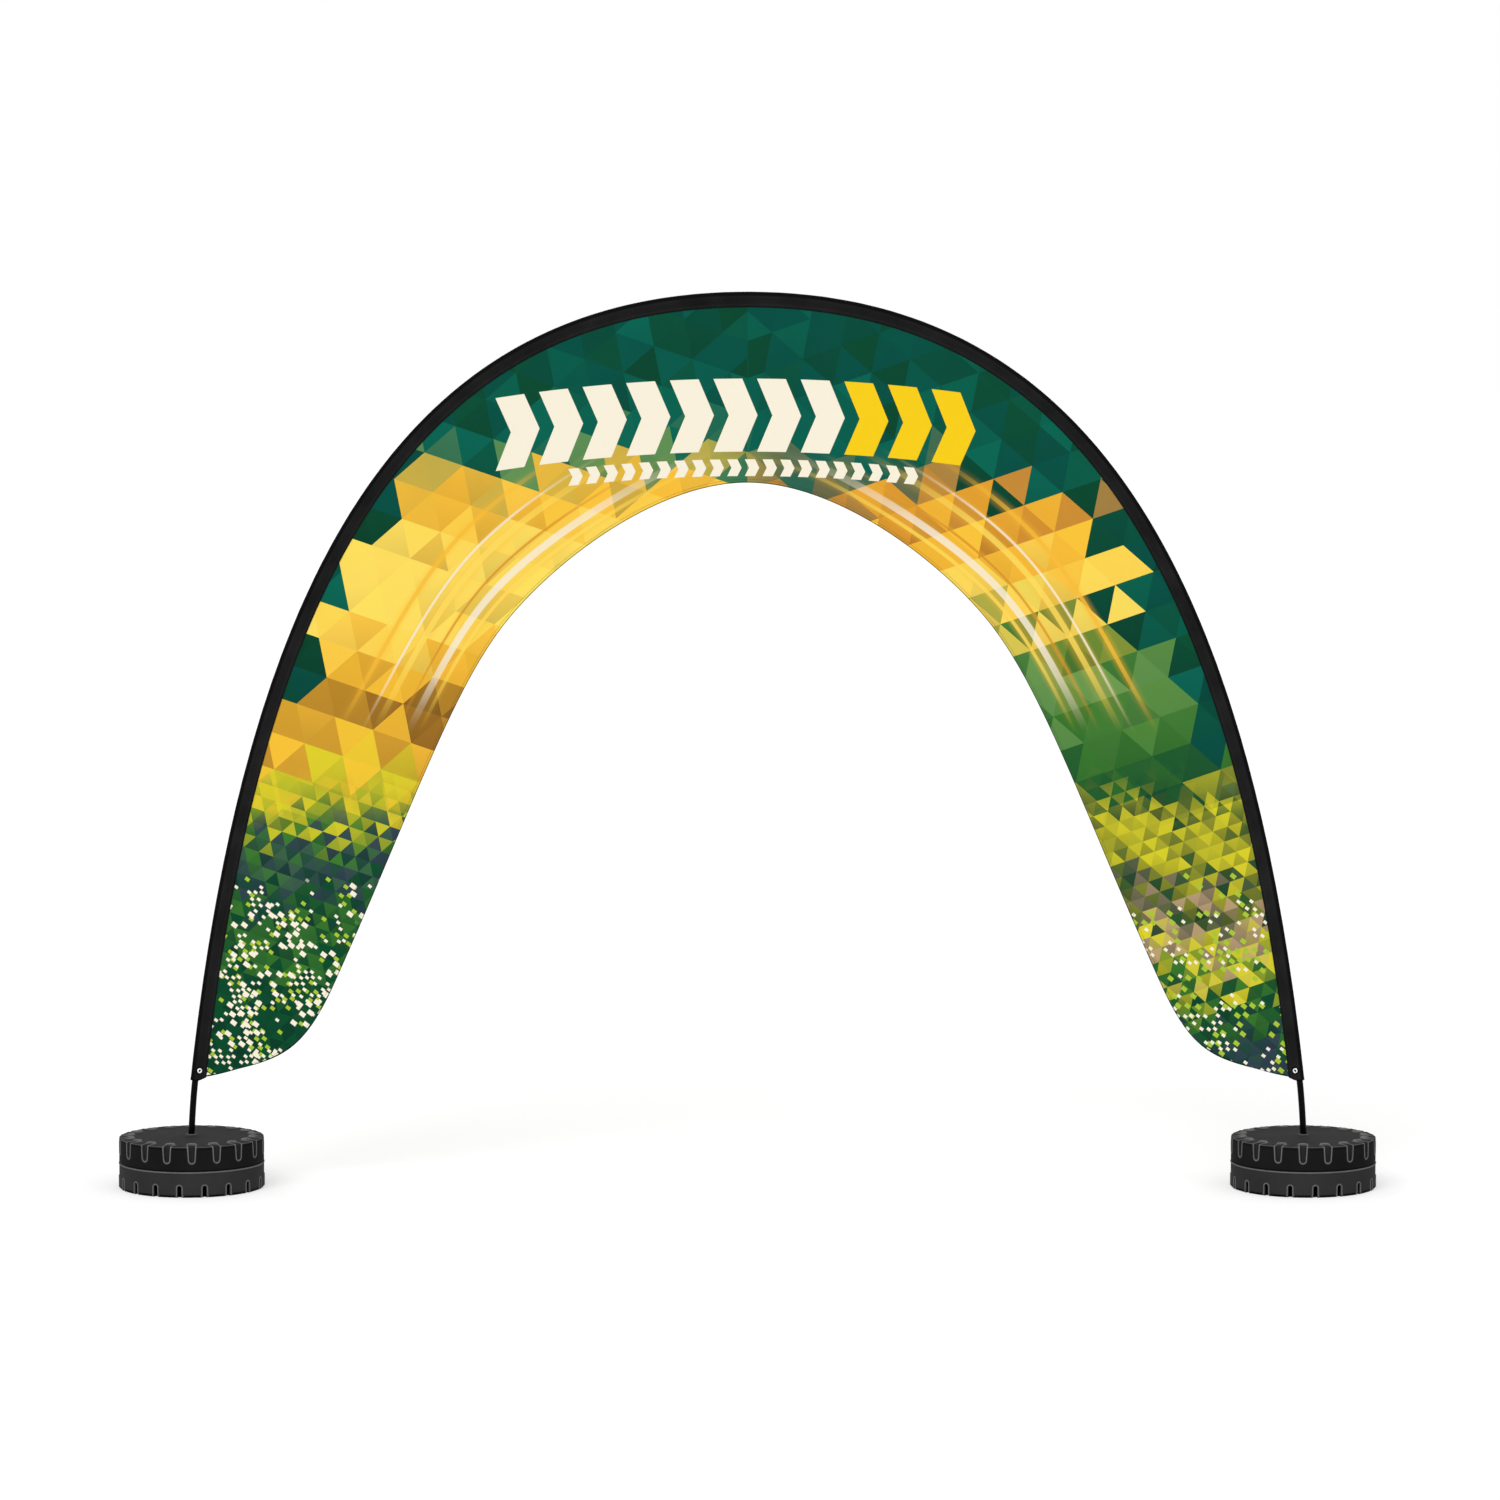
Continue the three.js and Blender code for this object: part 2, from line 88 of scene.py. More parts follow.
STITCH_PITCH = 4.1 * MM
HEM_PITCH = 0.86 * STITCH_PITCH   # for the hem, measured along the outer fold
STITCH_LONG = 3.2 * MM
STITCH_THICK = 0.55 * MM
HEM_ROW = 10.5 * MM            # free edge to the hem's row of stitches
HEM_ROW_REACH = 0.9975         # share of the free edge that the row covers
BAND_ROWS = (38.8 * MM, 45.2 * MM)   # outer fold to each row of stitches on the band
BAND_ROW_STOP = 9 * MM         # sleeve's end to the end of those rows

# The free edge round the gateway, from the crown down to the lobe, in millimetres. lean: degrees from
# straight down. before, after: handles of the cubics.
FREE_EDGE = [
    dict(x=0, z=2196.5, lean=90, before=0, after=287),
    dict(x=757, z=1751, lean=37.5, before=237, after=271),
    dict(x=1283, z=641, lean=24.3, before=574, after=225),
    dict(x=1587, z=369, lean=76.3, before=151, after=0),
]

# Soft troughs (+) and ridges (-) of the stretched cloth. at: -1 left foot, 0 crown, 1 right foot.
# width in the same measure, depth in millimetres.
CREASES = [
    dict(at=-0.84, width=0.09, depth=5.0),
    dict(at=-0.58, width=0.13, depth=-4.5),
    dict(at=-0.30, width=0.11, depth=3.5),
    dict(at=0.06, width=0.14, depth=-4.0),
    dict(at=0.35, width=0.12, depth=4.0),
    dict(at=0.62, width=0.10, depth=-5.0),
    dict(at=0.87, width=0.08, depth=3.5),
]

# ---- Sizes of the pole, the eyelets and the bases ----

POLE_FOOT = 10 * MM            # radius at the feet
POLE_CROWN = 6 * MM            # radius at the crown
POLE_END_LESS = 1.4 * MM       # how much smaller its radius is at its very ends
POLE_THICK_RUN = 1200 * MM     # length up the fold before the pole thins
POLE_EASE_RUN = 400 * MM       # length up the fold in which it comes to bear on it
POLE_BEARING = 1.8 * MM        # outer fold to the pole's outer side
POLE_FOOT_INSET = 15 * MM      # outer fold to the pole's axis at the sleeve's end
POLE_LEAN = math.radians(3)    # from upright in the bases
POLE_HANDLE = 55 * MM          # handles of the bare stretch's cubic

EYELET_HOLE = 3.3 * MM         # radii of the hole, the front rim, the barrel and the back ring
EYELET_RIM = 8.3 * MM
EYELET_BARREL = 4.95 * MM
EYELET_BACK = 6.5 * MM
EYELET_SEAT = 1.5 * MM         # heights over the layer's inner face: the rim's foot and its top,
EYELET_TOP = 2.5 * MM
EYELET_UNDER = -0.3 * MM       # the back ring's near side and its far side
EYELET_LOW = -0.78 * MM
EYELET_UP = 32.4 * MM          # sleeve's end to the eyelet
EYELET_INSET = 25.5 * MM       # outer fold to the eyelet
EYELET_CUT = 5.3 * MM          # radius of the hole in the sleeve's front layer

BASE_LOW, BASE_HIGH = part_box("base_right_upper")
BASE_RADIUS = (BASE_HIGH.y - BASE_LOW.y) / 2
BASE_HALF_SPAN = (BASE_HIGH.x + BASE_LOW.x) / 2
COLLAR_TOP = BASE_HIGH.z
BASE_SEAM = BASE_LOW.z
BASE_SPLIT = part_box("base_right_lower")[1].z
BASE_RIM = COLLAR_TOP - 8 * MM
BASE_CROWN = COLLAR_TOP - 4 * MM   # top face at the collar
TOP_RISE = 1.0 * MM            # of the notched top from the rim inwards
UPPER_TALL = BASE_RIM - BASE_SEAM
RIM_CORNER = 3.5 * MM          # radius between the side and the top
RIM_DIP = 0.8 * MM             # of the rim midway between notches
SEAM_BEVEL = 1.6 * MM          # under the upper half's side
SEAM_LIP = 1.8 * MM            # rolled lip on the lower half
SEAM_CORNER = 3 * MM           # radius above that lip
FOOT_CORNER = 6 * MM           # height of the rounding at the ground, and how far in it goes
FOOT_INSET = 5.4 * MM
COLLAR_RADIUS = 16 * MM
SOCKET_RADIUS = 10.4 * MM
SOCKET_DEPTH = 140 * MM
BASE_TURN = math.radians(5)    # front of a base to its nearest notch
SECTORS = 18                   # notches, and slots, round a base

NOTCH_DEPTH = 8 * MM           # into the side
NOTCH_SINK = 0.4 * MM          # into the top at the rim
NOTCH_INNER_SINK = 5 * MM      # into the top at the notch's inner end
NOTCH_TOP = 10.8 * MM          # half width at the rim and over the top
NOTCH_LOW = 8.2 * MM           # half width at the rounded lower end
NOTCH_DROP = 49 * MM           # rim to its lower end
NOTCH_REACH = 40 * MM          # rim to its inner end
NOTCH_WALL = 3.2 * MM          # width of its sloping wall
NOTCH_BEAD = 2.1 * MM          # height of the bead round it, on the side
NOTCH_BEAD_RIM = 0.6 * MM      # at the rim
NOTCH_BEAD_INNER = 6.0 * MM    # round the inner end

SLOT_HALF = 6.5 * MM           # half width
SLOT_HEIGHT = 37 * MM
SLOT_DEPTH = 16 * MM
SLOT_WALL = 1.3 * MM
SLOT_FLARE = 1.5 * MM          # wider by this on each side at the ground
SLOT_BEAD = 2.1 * MM


# ---- Small helpers ----

def srgb(red, green, blue):
    """A colour given as 0 to 255 on a screen, as the linear light that shaders take."""
    share = np.array([red, green, blue]) / 255
    linear = np.where(share <= 0.04045, share / 12.92, ((share + 0.055) / 1.055) ** 2.4)
    return (*linear.tolist(), 1.0)


def smooth(t):
    """0 below 0, 1 above 1, and the S-curve 3t^2 - 2t^3 between."""
    t = np.clip(t, 0, 1)
    return t * t * (3 - 2 * t)


def bump(distance, reach):
    """1 at distance 0, falling away on both sides as the bell exp(-(distance / reach)^2)."""
    return np.exp(-(distance / reach) ** 2)


def side_of(along):
    """-1 on the left half and 1 on the right half."""
    return np.where(along < 0, -1.0, 1.0)


def spaced(*runs):
    """Places along a line, from runs of (start, end, number of steps) that follow each other."""
    parts = [np.linspace(start, end, steps + 1)[:-1] for start, end, steps in runs]
    return np.concatenate([*parts, [runs[-1][1]]])


class Path:
    """A smooth line in the XZ plane that can be read at any share of its length."""

    def __init__(self, rows):
        """rows: points with x, z, lean (radians from straight down) and handles before and after.
        Between two rows runs the cubic (1-t)^3 a + 3t(1-t)^2 b + 3t^2(1-t) c + t^3 d."""
        t = np.linspace(0, 1, 801)[:, None]
        pieces = []
        for first, second in zip(rows, rows[1:]):
            a = np.array([first["x"], first["z"]])
            d = np.array([second["x"], second["z"]])
            leaving = np.array([math.sin(first["lean"]), -math.cos(first["lean"])])
            arriving = np.array([math.sin(second["lean"]), -math.cos(second["lean"])])
            b = a + leaving * first["after"]
            c = d - arriving * second["before"]
            curve = (1 - t) ** 3 * a + 3 * t * (1 - t) ** 2 * b + 3 * t * t * (1 - t) * c + t ** 3 * d
            pieces.append(curve if not pieces else curve[1:])
        self.line = np.concatenate(pieces)
        steps = np.hypot(*np.diff(self.line, axis=0).T)
        self.run = np.concatenate([[0], np.cumsum(steps)])
        self.length = self.run[-1]
        way = np.gradient(self.line, self.run, axis=0)
        self.way = way / np.hypot(way[:, 0], way[:, 1])[:, None]

    def at(self, share):
        """x and z of the line at a share of its length."""
        fall = np.clip(share, 0, 1) * self.length
        return (np.interp(fall, self.run, self.line[:, k]) for k in (0, 1))

    def heading(self, share):
        """x and z of the unit vector along the line at a share of its length."""
        fall = np.clip(share, 0, 1) * self.length
        x, z = (np.interp(fall, self.run, self.way[:, k]) for k in (0, 1))
        size = np.hypot(x, z)
        return x / size, z / size


def path_rows(table):
    """A table in millimetres and degrees, as the rows that Path takes."""
    return [
        {key: math.radians(number) if key == "lean" else number * MM for key, number in row.items()}
        for row in table
    ]


OUTER_FOLD = Path([
    dict(x=0, z=ARCH_HEIGHT, lean=math.pi / 2, before=0, after=CROWN_HANDLE),
    dict(x=FOOT_HALF_SPAN, z=SLEEVE_FOOT, lean=FOOT_LEAN, before=FOOT_HANDLE, after=0),
])
GATEWAY_EDGE = Path(path_rows(FREE_EDGE))
FOLD_LENGTH = OUTER_FOLD.length


def in_sleeve(along, inset, y):
    """Points by along, the length from the crown (negative to the left), inset from the outer fold
    towards the gateway, and depth y: the fold's point plus inset times its inward normal."""
    along, inset, y = np.broadcast_arrays(along, inset, y)
    side = side_of(along)
    x, z = OUTER_FOLD.at(np.abs(along) / FOLD_LENGTH)
    way_x, way_z = OUTER_FOLD.heading(np.abs(along) / FOLD_LENGTH)
    return np.stack([side * (x + inset * way_z), y, z - inset * way_x], axis=-1)


# ---- Meshes from arrays ----

def grid_quads(rows, columns, wrap=False):
    """Quads of a grid of points numbered row by row. wrap joins the last column to the first."""
    number = np.arange(rows * columns).reshape(rows, columns)
    if wrap:
        number = np.column_stack([number, number[:, 0]])
    corners = (number[:-1, :-1], number[:-1, 1:], number[1:, 1:], number[1:, :-1])
    return np.stack(corners, axis=-1).reshape(-1, 4)


def enclosed(points, faces):
    """Six times the volume inside closed faces: the sum of a . (b x c) over their triangles."""
    total = 0.0
    for group in faces:
        for k in range(1, group.shape[1] - 1):
            a, b, c = (points[group[:, corner]] for corner in (0, k, k + 1))
            total += np.einsum("ij,ij->i", a, np.cross(b, c)).sum()
    return total


def make_piece(name, points, faces, finish, fields=None, crease=40):
    """A closed mesh object from points, groups of faces with equal corner counts, and named fields
    of one number a point. Its faces are turned outwards where they enclose a negative volume."""
    points = points.reshape(-1, 3)
    if enclosed(points, faces) < 0:
        faces = [group[:, ::-1] for group in faces]
    mesh = bpy.data.meshes.new(name)
    mesh.from_pydata(points.tolist(), [], [face for group in faces for face in group.tolist()])
    for field, values in (fields or {}).items():
        mesh.attributes.new(field, "FLOAT", "POINT").data.foreach_set("value", values.ravel())
    mesh.shade_smooth()
    mesh.set_sharp_from_angle(angle=math.radians(crease))
    mesh.materials.append(finish)
    piece = bpy.data.objects.new(name, mesh)
    bpy.context.scene.collection.objects.link(piece)
    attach(piece, "root")
    return piece


def thick_sheet(front, back, kept=None):
    """Points and quads of a sheet between two equal grids. kept marks the cells that are cloth, and
    every border of the kept cells, round a hole too, gets a wall from front to back."""
    rows, columns = front.shape[:2]
    if kept is None:
        kept = np.ones((rows - 1, columns - 1), bool)
    count = rows * columns
    number = np.arange(count).reshape(rows, columns)
    cells = grid_quads(rows, columns)[kept.ravel()]
    padded = np.pad(kept, 1)
    walls = []
    for axis in (0, 1):
        before = padded[:-1, 1:-1] if axis == 0 else padded[1:-1, :-1]
        after = padded[1:, 1:-1] if axis == 0 else padded[1:-1, 1:]
        first = number[:, :-1] if axis == 0 else number[:-1, :]
        second = number[:, 1:] if axis == 0 else number[1:, :]
        for edge, turned in ((after & ~before, axis == 0), (before & ~after, axis == 1)):
            a, b = first[edge], second[edge]
            a, b = (b, a) if turned else (a, b)
            walls.append(np.column_stack([a, b, b + count, a + count]))
    quads = np.concatenate([cells, cells[:, ::-1] + count, *walls])
    points = np.concatenate([front.reshape(-1, 3), back.reshape(-1, 3)])
    used, compact = np.unique(quads, return_inverse=True)
    return points[used], compact.reshape(-1, 4), used


def both_faces(field, used):
    """A field on one grid, repeated for the back face and cut down to the points in use."""
    return np.tile(field.ravel(), 2)[used]


def round_piece(rings, start_pole=None, end_pole=None):
    """Points and faces of rings that each close on themselves, capped by fans to the two poles, or
    joined last to first where there are none."""
    rows, columns = rings.shape[:2]
    points = rings.reshape(-1, 3)
    quads = grid_quads(rows, columns, wrap=True)
    first = np.arange(columns)
    last = first + (rows - 1) * columns
    if start_pole is None:
        joint = np.column_stack([last, np.roll(last, -1), np.roll(first, -1), first])
        return points, [np.concatenate([quads, joint])]
    low, high = len(points), len(points) + 1
    fans = [
        np.column_stack([np.full(columns, low), np.roll(first, -1), first]),
        np.column_stack([last, np.roll(last, -1), np.full(columns, high)]),
    ]
    return np.concatenate([points, [start_pole, end_pole]]), [quads, np.concatenate(fans)]


# ---- Materials: values inside node trees ----

def feed(tree, item, target):
    """Gives a node's input a plain number or colour, or links it to a Value or to another socket."""
    if isinstance(item, (int, float, tuple)):
        target.default_value = item
    else:
        tree.links.new(getattr(item, "socket", item), target)


class Value:
    """A number in a material's nodes. Each sign or helper used on it adds nodes."""

    def __init__(self, tree, socket):
        self.tree = tree
        self.socket = socket

    def math(self, operation, *others, first=None):
        node = self.tree.nodes.new("ShaderNodeMath")
        node.operation = operation
        items = (self, *others) if first is None else (first, self)
        for place, item in zip(node.inputs, items):
            feed(self.tree, item, place)
        return Value(self.tree, node.outputs[0])

    def __add__(self, other):
        return self.math("ADD", other)

    __radd__ = __add__

    def __sub__(self, other):
        return self.math("SUBTRACT", other)

    def __rsub__(self, other):
        return self.math("SUBTRACT", first=other)

    def __mul__(self, other):
        return self.math("MULTIPLY", other)

    __rmul__ = __mul__

    def __truediv__(self, other):
        return self.math("DIVIDE", other)

    def __abs__(self):
        return self.math("ABSOLUTE")

    def floor(self):
        return self.math("FLOOR")

    def fraction(self):
        return self.math("FRACT")

    def sine(self):
        return self.math("SINE")

    def least(self, other):
        return self.math("MINIMUM", other)

    def most(self, other):
        return self.math("MAXIMUM", other)

    def over(self, limit, soft=0.0015):
        """0 below a limit and 1 above it, with a soft step of that width."""
        node = self.tree.nodes.new("ShaderNodeMapRange")
        node.interpolation_type = "SMOOTHSTEP"
        feed(self.tree, self, node.inputs["Value"])
        feed(self.tree, limit - soft / 2, node.inputs["From Min"])
        feed(self.tree, limit + soft / 2, node.inputs["From Max"])
        return Value(self.tree, node.outputs[0])

    def under(self, limit, soft=0.0015):
        return 1 - self.over(limit, soft)

    def near(self, middle, half, soft=0.0015):
        """1 within half of the middle, 0 further away."""
        return abs(self - middle).under(half, soft)


class Finish:
    """One material being made: its tree, its shader and the usual sources of pattern. It starts from
    plain numbers for the shader's inputs, named with _ for each space."""

    def __init__(self, name, **sockets):
        self.material = bpy.data.materials.new(name)
        self.material.use_nodes = True
        self.tree = self.material.node_tree
        self.shader = self.tree.nodes["Principled BSDF"]
        self.coords = self.tree.nodes.new("ShaderNodeTexCoord").outputs["Object"]
        for socket, number in sockets.items():
            self.shader.inputs[socket.replace("_", " ")].default_value = number

    def place(self):
        """Object coordinates as three values."""
        node = self.tree.nodes.new("ShaderNodeSeparateXYZ")
        feed(self.tree, self.coords, node.inputs[0])
        return [Value(self.tree, output) for output in node.outputs]

    def field(self, name):
        """A field stored on the mesh."""
        node = self.tree.nodes.new("ShaderNodeAttribute")
        node.attribute_name = name
        return Value(self.tree, node.outputs["Fac"])

    def vector(self, x, y, z):
        node = self.tree.nodes.new("ShaderNodeCombineXYZ")
        for place, item in zip(node.inputs, (x, y, z)):
            feed(self.tree, item, place)
        return node.outputs[0]

    def noise(self, scale, detail=3.0, at=None, roughness=0.5):
        """Cloudy noise from 0 to 1, with a number of lumps a metre."""
        node = self.tree.nodes.new("ShaderNodeTexNoise")
        feed(self.tree, at or self.coords, node.inputs["Vector"])
        node.inputs["Scale"].default_value = scale
        node.inputs["Detail"].default_value = detail
        node.inputs["Roughness"].default_value = roughness
        return Value(self.tree, node.outputs["Fac"])

    def chance(self, *cell):
        """A random number from 0 to 1 that is the same all over one cell of a pattern."""
        node = self.tree.nodes.new("ShaderNodeTexWhiteNoise")
        node.noise_dimensions = "3D"
        feed(self.tree, self.vector(*cell), node.inputs["Vector"])
        return Value(self.tree, node.outputs["Value"])

    def ramp(self, value, stops):
        """A colour along a ramp of (place from 0 to 1, colour)."""
        node = self.tree.nodes.new("ShaderNodeValToRGB")
        elements = node.color_ramp.elements
        for place, colour in stops[2:]:
            elements.new(place)
        for element, (place, colour) in zip(elements, stops):
            element.position = place
            element.color = colour
        feed(self.tree, value, node.inputs[0])
        return node.outputs["Color"]

    def blend(self, factor, under, over, kind="MIX"):
        """Colour over laid on colour under by a factor."""
        node = self.tree.nodes.new("ShaderNodeMix")
        node.data_type = "RGBA"
        node.blend_type = kind
        node.clamp_factor = True
        ends = [socket for socket in node.inputs if socket.type == "RGBA"]
        for item, target in ((factor, node.inputs[0]), (under, ends[0]), (over, ends[1])):
            feed(self.tree, item, target)
        return next(socket for socket in node.outputs if socket.type == "RGBA")

    def relief(self, *layers):
        """Bump from layers of (height value, distance in metres, strength), one on top of another."""
        normal = None
        for height, distance, strength in layers:
            node = self.tree.nodes.new("ShaderNodeBump")
            node.inputs["Distance"].default_value = distance
            node.inputs["Strength"].default_value = strength
            feed(self.tree, height, node.inputs["Height"])
            if normal is not None:
                feed(self.tree, normal, node.inputs["Normal"])
            normal = node.outputs[0]
        feed(self.tree, normal, self.shader.inputs["Normal"])

    def colour(self, source):
        feed(self.tree, source, self.shader.inputs["Base Color"])

    def roughness(self, source):
        feed(self.tree, source, self.shader.inputs["Roughness"])


# ---- The print: facets, ribbons, chevrons and diamonds ----

TEAL_DEEP = (0, 80, 68)
TEAL = (2, 100, 82)
SAGE = (104, 150, 84)
SUN = (255, 222, 96)
GOLD = (250, 190, 56)
AMBER = (214, 142, 44)
BRONZE = (150, 104, 34)
MEADOW = (214, 206, 42)
LEAF = (54, 116, 44)
FOREST = (4, 70, 44)
SLATE = (48, 66, 80)
TAN = (176, 150, 118)
LIME = (170, 200, 56)
CREAM = (250, 242, 220)
YELLOW = (250, 208, 24)
# painted shade for the rolled edge under the lobes
LOBE_EDGE_SHADE = (8, 16, 13)

# Colours down the cloth: heights in metres and the tint there, for the left and the right leg.
LEFT_BANDS = [
    (0.34, FOREST), (0.64, FOREST), (0.76, LEAF), (0.90, FOREST), (1.02, SLATE), (1.12, LEAF),
    (1.22, MEADOW), (1.36, GOLD), (1.48, BRONZE), (1.62, GOLD), (1.80, SUN), (2.00, SUN), (2.14, GOLD),
    (2.25, SAGE), (2.36, TEAL), (2.60, TEAL_DEEP),
]
RIGHT_BANDS = [
    (0.34, SLATE), (0.48, FOREST), (0.60, LEAF), (0.69, MEADOW), (0.79, TAN), (0.92, FOREST),
    (1.10, MEADOW), (1.24, FOREST), (1.40, LEAF), (1.56, SAGE), (1.68, LEAF), (1.84, SUN),
    (2.00, GOLD), (2.12, AMBER), (2.26, TEAL), (2.60, TEAL_DEEP),
]
BANDS_FLOOR = 0.30
BANDS_TOP = 2.80

FACET_TURN = math.radians(19)
LARGE_FACET = 0.125            # side of a triangle, above the legs
SMALL_FACET = 0.048            # and on them
LEG_TOP = 1.22
CROWN_LOW = 2.18               # from here up the print is calmer
OTHER_HALF = 60.0              # steps the cells of the right half on, to chances of its own

# The ellipse that stands in for the sleeve where teal facets are scattered: half axes and centre.
SCATTER_OUT = 1.80
SCATTER_UP = 2.47
SCATTER_CENTRE = 0.30

# Ribbons of light round the gateway. at: from the free edge, in metres like half, the half width.
RIBBONS = [
    dict(at=0.085, half=0.006, tint=SUN),
    dict(at=0.120, half=0.012, tint=CREAM),
    dict(at=0.160, half=0.004, tint=AMBER),
    dict(at=0.225, half=0.010, tint=SUN),
    dict(at=0.262, half=0.004, tint=CREAM),
    dict(at=0.330, half=0.007, tint=GOLD),
]

# Small diamonds on the left (-1) and right (1) leg. shift gives a layer chances of its own, size is
# half a diamond's width as a share of the pitch, and share is about how many cells hold one.
DIAMONDS = [
    dict(leg=-1, tint=LIME, shift=5.0, pitch=0.025, size=0.36, share=0.30),
    dict(leg=-1, tint=CREAM, shift=0.0, pitch=0.031, size=0.38, share=0.34),
    dict(leg=-1, tint=CREAM, shift=2.0, pitch=0.019, size=0.38, share=0.30),
    dict(leg=1, tint=LIME, shift=9.0, pitch=0.029, size=0.38, share=0.34),
    dict(leg=1, tint=CREAM, shift=13.0, pitch=0.021, size=0.36, share=0.14),
]

# The two rows of chevrons over the crown.
LARGE_CHEVRONS = dict(start=-0.73, count=11, pitch=0.1345, stroke=0.66, tall=0.225, bend=0.42)
LARGE_ROW_HIGH = 2.405
YELLOW_FROM = 7.83             # cells of the large row before its yellow ones
SMALL_CHEVRONS = dict(start=-0.54, count=20, pitch=0.0545, stroke=0.58, tall=0.052, bend=0.5)
SMALL_ROW_HIGH = 2.243
ROW_BOW = 0.10                 # fall of a row's middle, over the square of x

# Ribs of the knit and of the twill, from one to the next.
KNIT_ACROSS = 1.1 * MM
KNIT_UP = 0.9 * MM
TWILL_FINE = 1.3 * MM
TWILL_CROSS = 2.1 * MM


def band_colour(finish, height, bands):
    """The tint of the bands at a height, running smoothly from one to the next."""
    span = BANDS_TOP - BANDS_FLOOR
    stops = [((z - BANDS_FLOOR) / span, srgb(*tint)) for z, tint in bands]
    return finish.ramp((height - BANDS_FLOOR) / span, stops)


def facets(finish, x, z, side):
    """A plane cut by three families of lines 60 degrees apart, turned a little and mirrored at x = 0.
    Gives two random numbers for each triangle, and how far its middle is from x = 0 and above z = 0."""
    cos, sin = math.cos(FACET_TURN), math.sin(FACET_TURN)
    rise = side * math.sqrt(3) / 2
    level = (z * cos - abs(x) * sin) / rise
    across = (abs(x) * cos + z * sin) / side
    row = level.floor()
    rising = (across + level * 0.5).floor()
    apart = x.over(0.0) * OTHER_HALF
    falling = (across - level * 0.5).floor() + apart
    mid_across = (rising + falling - apart + 1.0) * (side / 2)
    mid_level = (row + 0.5) * rise
    out, up = mid_across * cos - mid_level * sin, mid_across * sin + mid_level * cos
    return finish.chance(row, rising, falling), finish.chance(rising, falling, row + 0.5), out, up


def mosaic(finish, x, z, side, jitter):
    """Facets with the tint of the bands at their own height, moved up or down by chance, and teal and
    green ones scattered from the sleeve inwards, which is near where an ellipse of out and up is 1."""
    chance, other, out, up = facets(finish, x, z, side)
    height = up + (chance - 0.5) * jitter
    left = band_colour(finish, height, LEFT_BANDS)
    right = band_colour(finish, height, RIGHT_BANDS)
    colour = finish.blend(x.over(0.0, 0.3), left, right)
    reach_out, reach_up = out * (1 / SCATTER_OUT), (up - SCATTER_CENTRE) * (1 / SCATTER_UP)
    near_sleeve = reach_out * reach_out + reach_up * reach_up
    scatter = ((near_sleeve - 0.78 + x.over(0.0) * 0.12) * 4.2).least(0.85) * up.over(1.35, 0.6)
    fallen = finish.ramp(chance, [(0.1, srgb(*TEAL_DEEP)), (0.5, srgb(*FOREST)), (0.9, srgb(*TEAL))])
    return finish.blend((scatter - other).over(0.0, 0.002), colour, fallen), other, (z - up) / side


def chevron_row(x, z, start, count, pitch, stroke, tall, bend):
    """A row of slanted chevrons: x moved back by bend times the distance from the row's middle, cut into
    count cells, each kept for stroke of its pitch and within tall. Gives the mask and the cell."""
    cell = (x + abs(z) * bend - start) / pitch
    inside = cell.over(0.0, 0.02) * cell.under(count - 0.2, 0.02) * abs(z).under(tall / 2)
    return cell.fraction().under(stroke, 0.015) * inside, cell


def diamonds(finish, x, z, pitch, size, share):
    """Small diamonds in the cells of a square grid. Whole cells are kept by chance: about a share of
    them, more in the drifts of a slow noise, and none above the legs."""
    column = (x / pitch).floor()
    row = (z / pitch).floor()
    middle_x, middle_z = (column + 0.5) * pitch, (row + 0.5) * pitch
    drifts = finish.noise(9.0, detail=1.0, at=finish.vector(middle_x, 0.0, middle_z))
    kept = ((drifts - 0.5) * 2.4 + share) * middle_z.under(0.90, 0.2)
    chance = finish.chance(column, row, 7.0)
    shift = (finish.chance(column, row, 3.0) - 0.5) * 0.24
    reach = abs((x / pitch).fraction() - 0.5 + shift) + abs((z / pitch).fraction() - 0.5 - shift)
    return reach.under(size, 0.05) * (kept - chance).over(0.004, 0.002)


def ribbons(finish, colour, wave, shoulder):
    """Lines that keep their distance from the free edge, each a soft glow with a fine bright core."""
    for row in RIBBONS:
        glow = wave.near(row["at"], row["half"] * 2, row["half"] * 4) * shoulder * 0.35
        core = wave.near(row["at"], row["half"], 3 * MM) * shoulder * 0.75
        colour = finish.blend(glow, colour, srgb(*GOLD))
        colour = finish.blend(core, colour, srgb(*row["tint"]))
    return colour


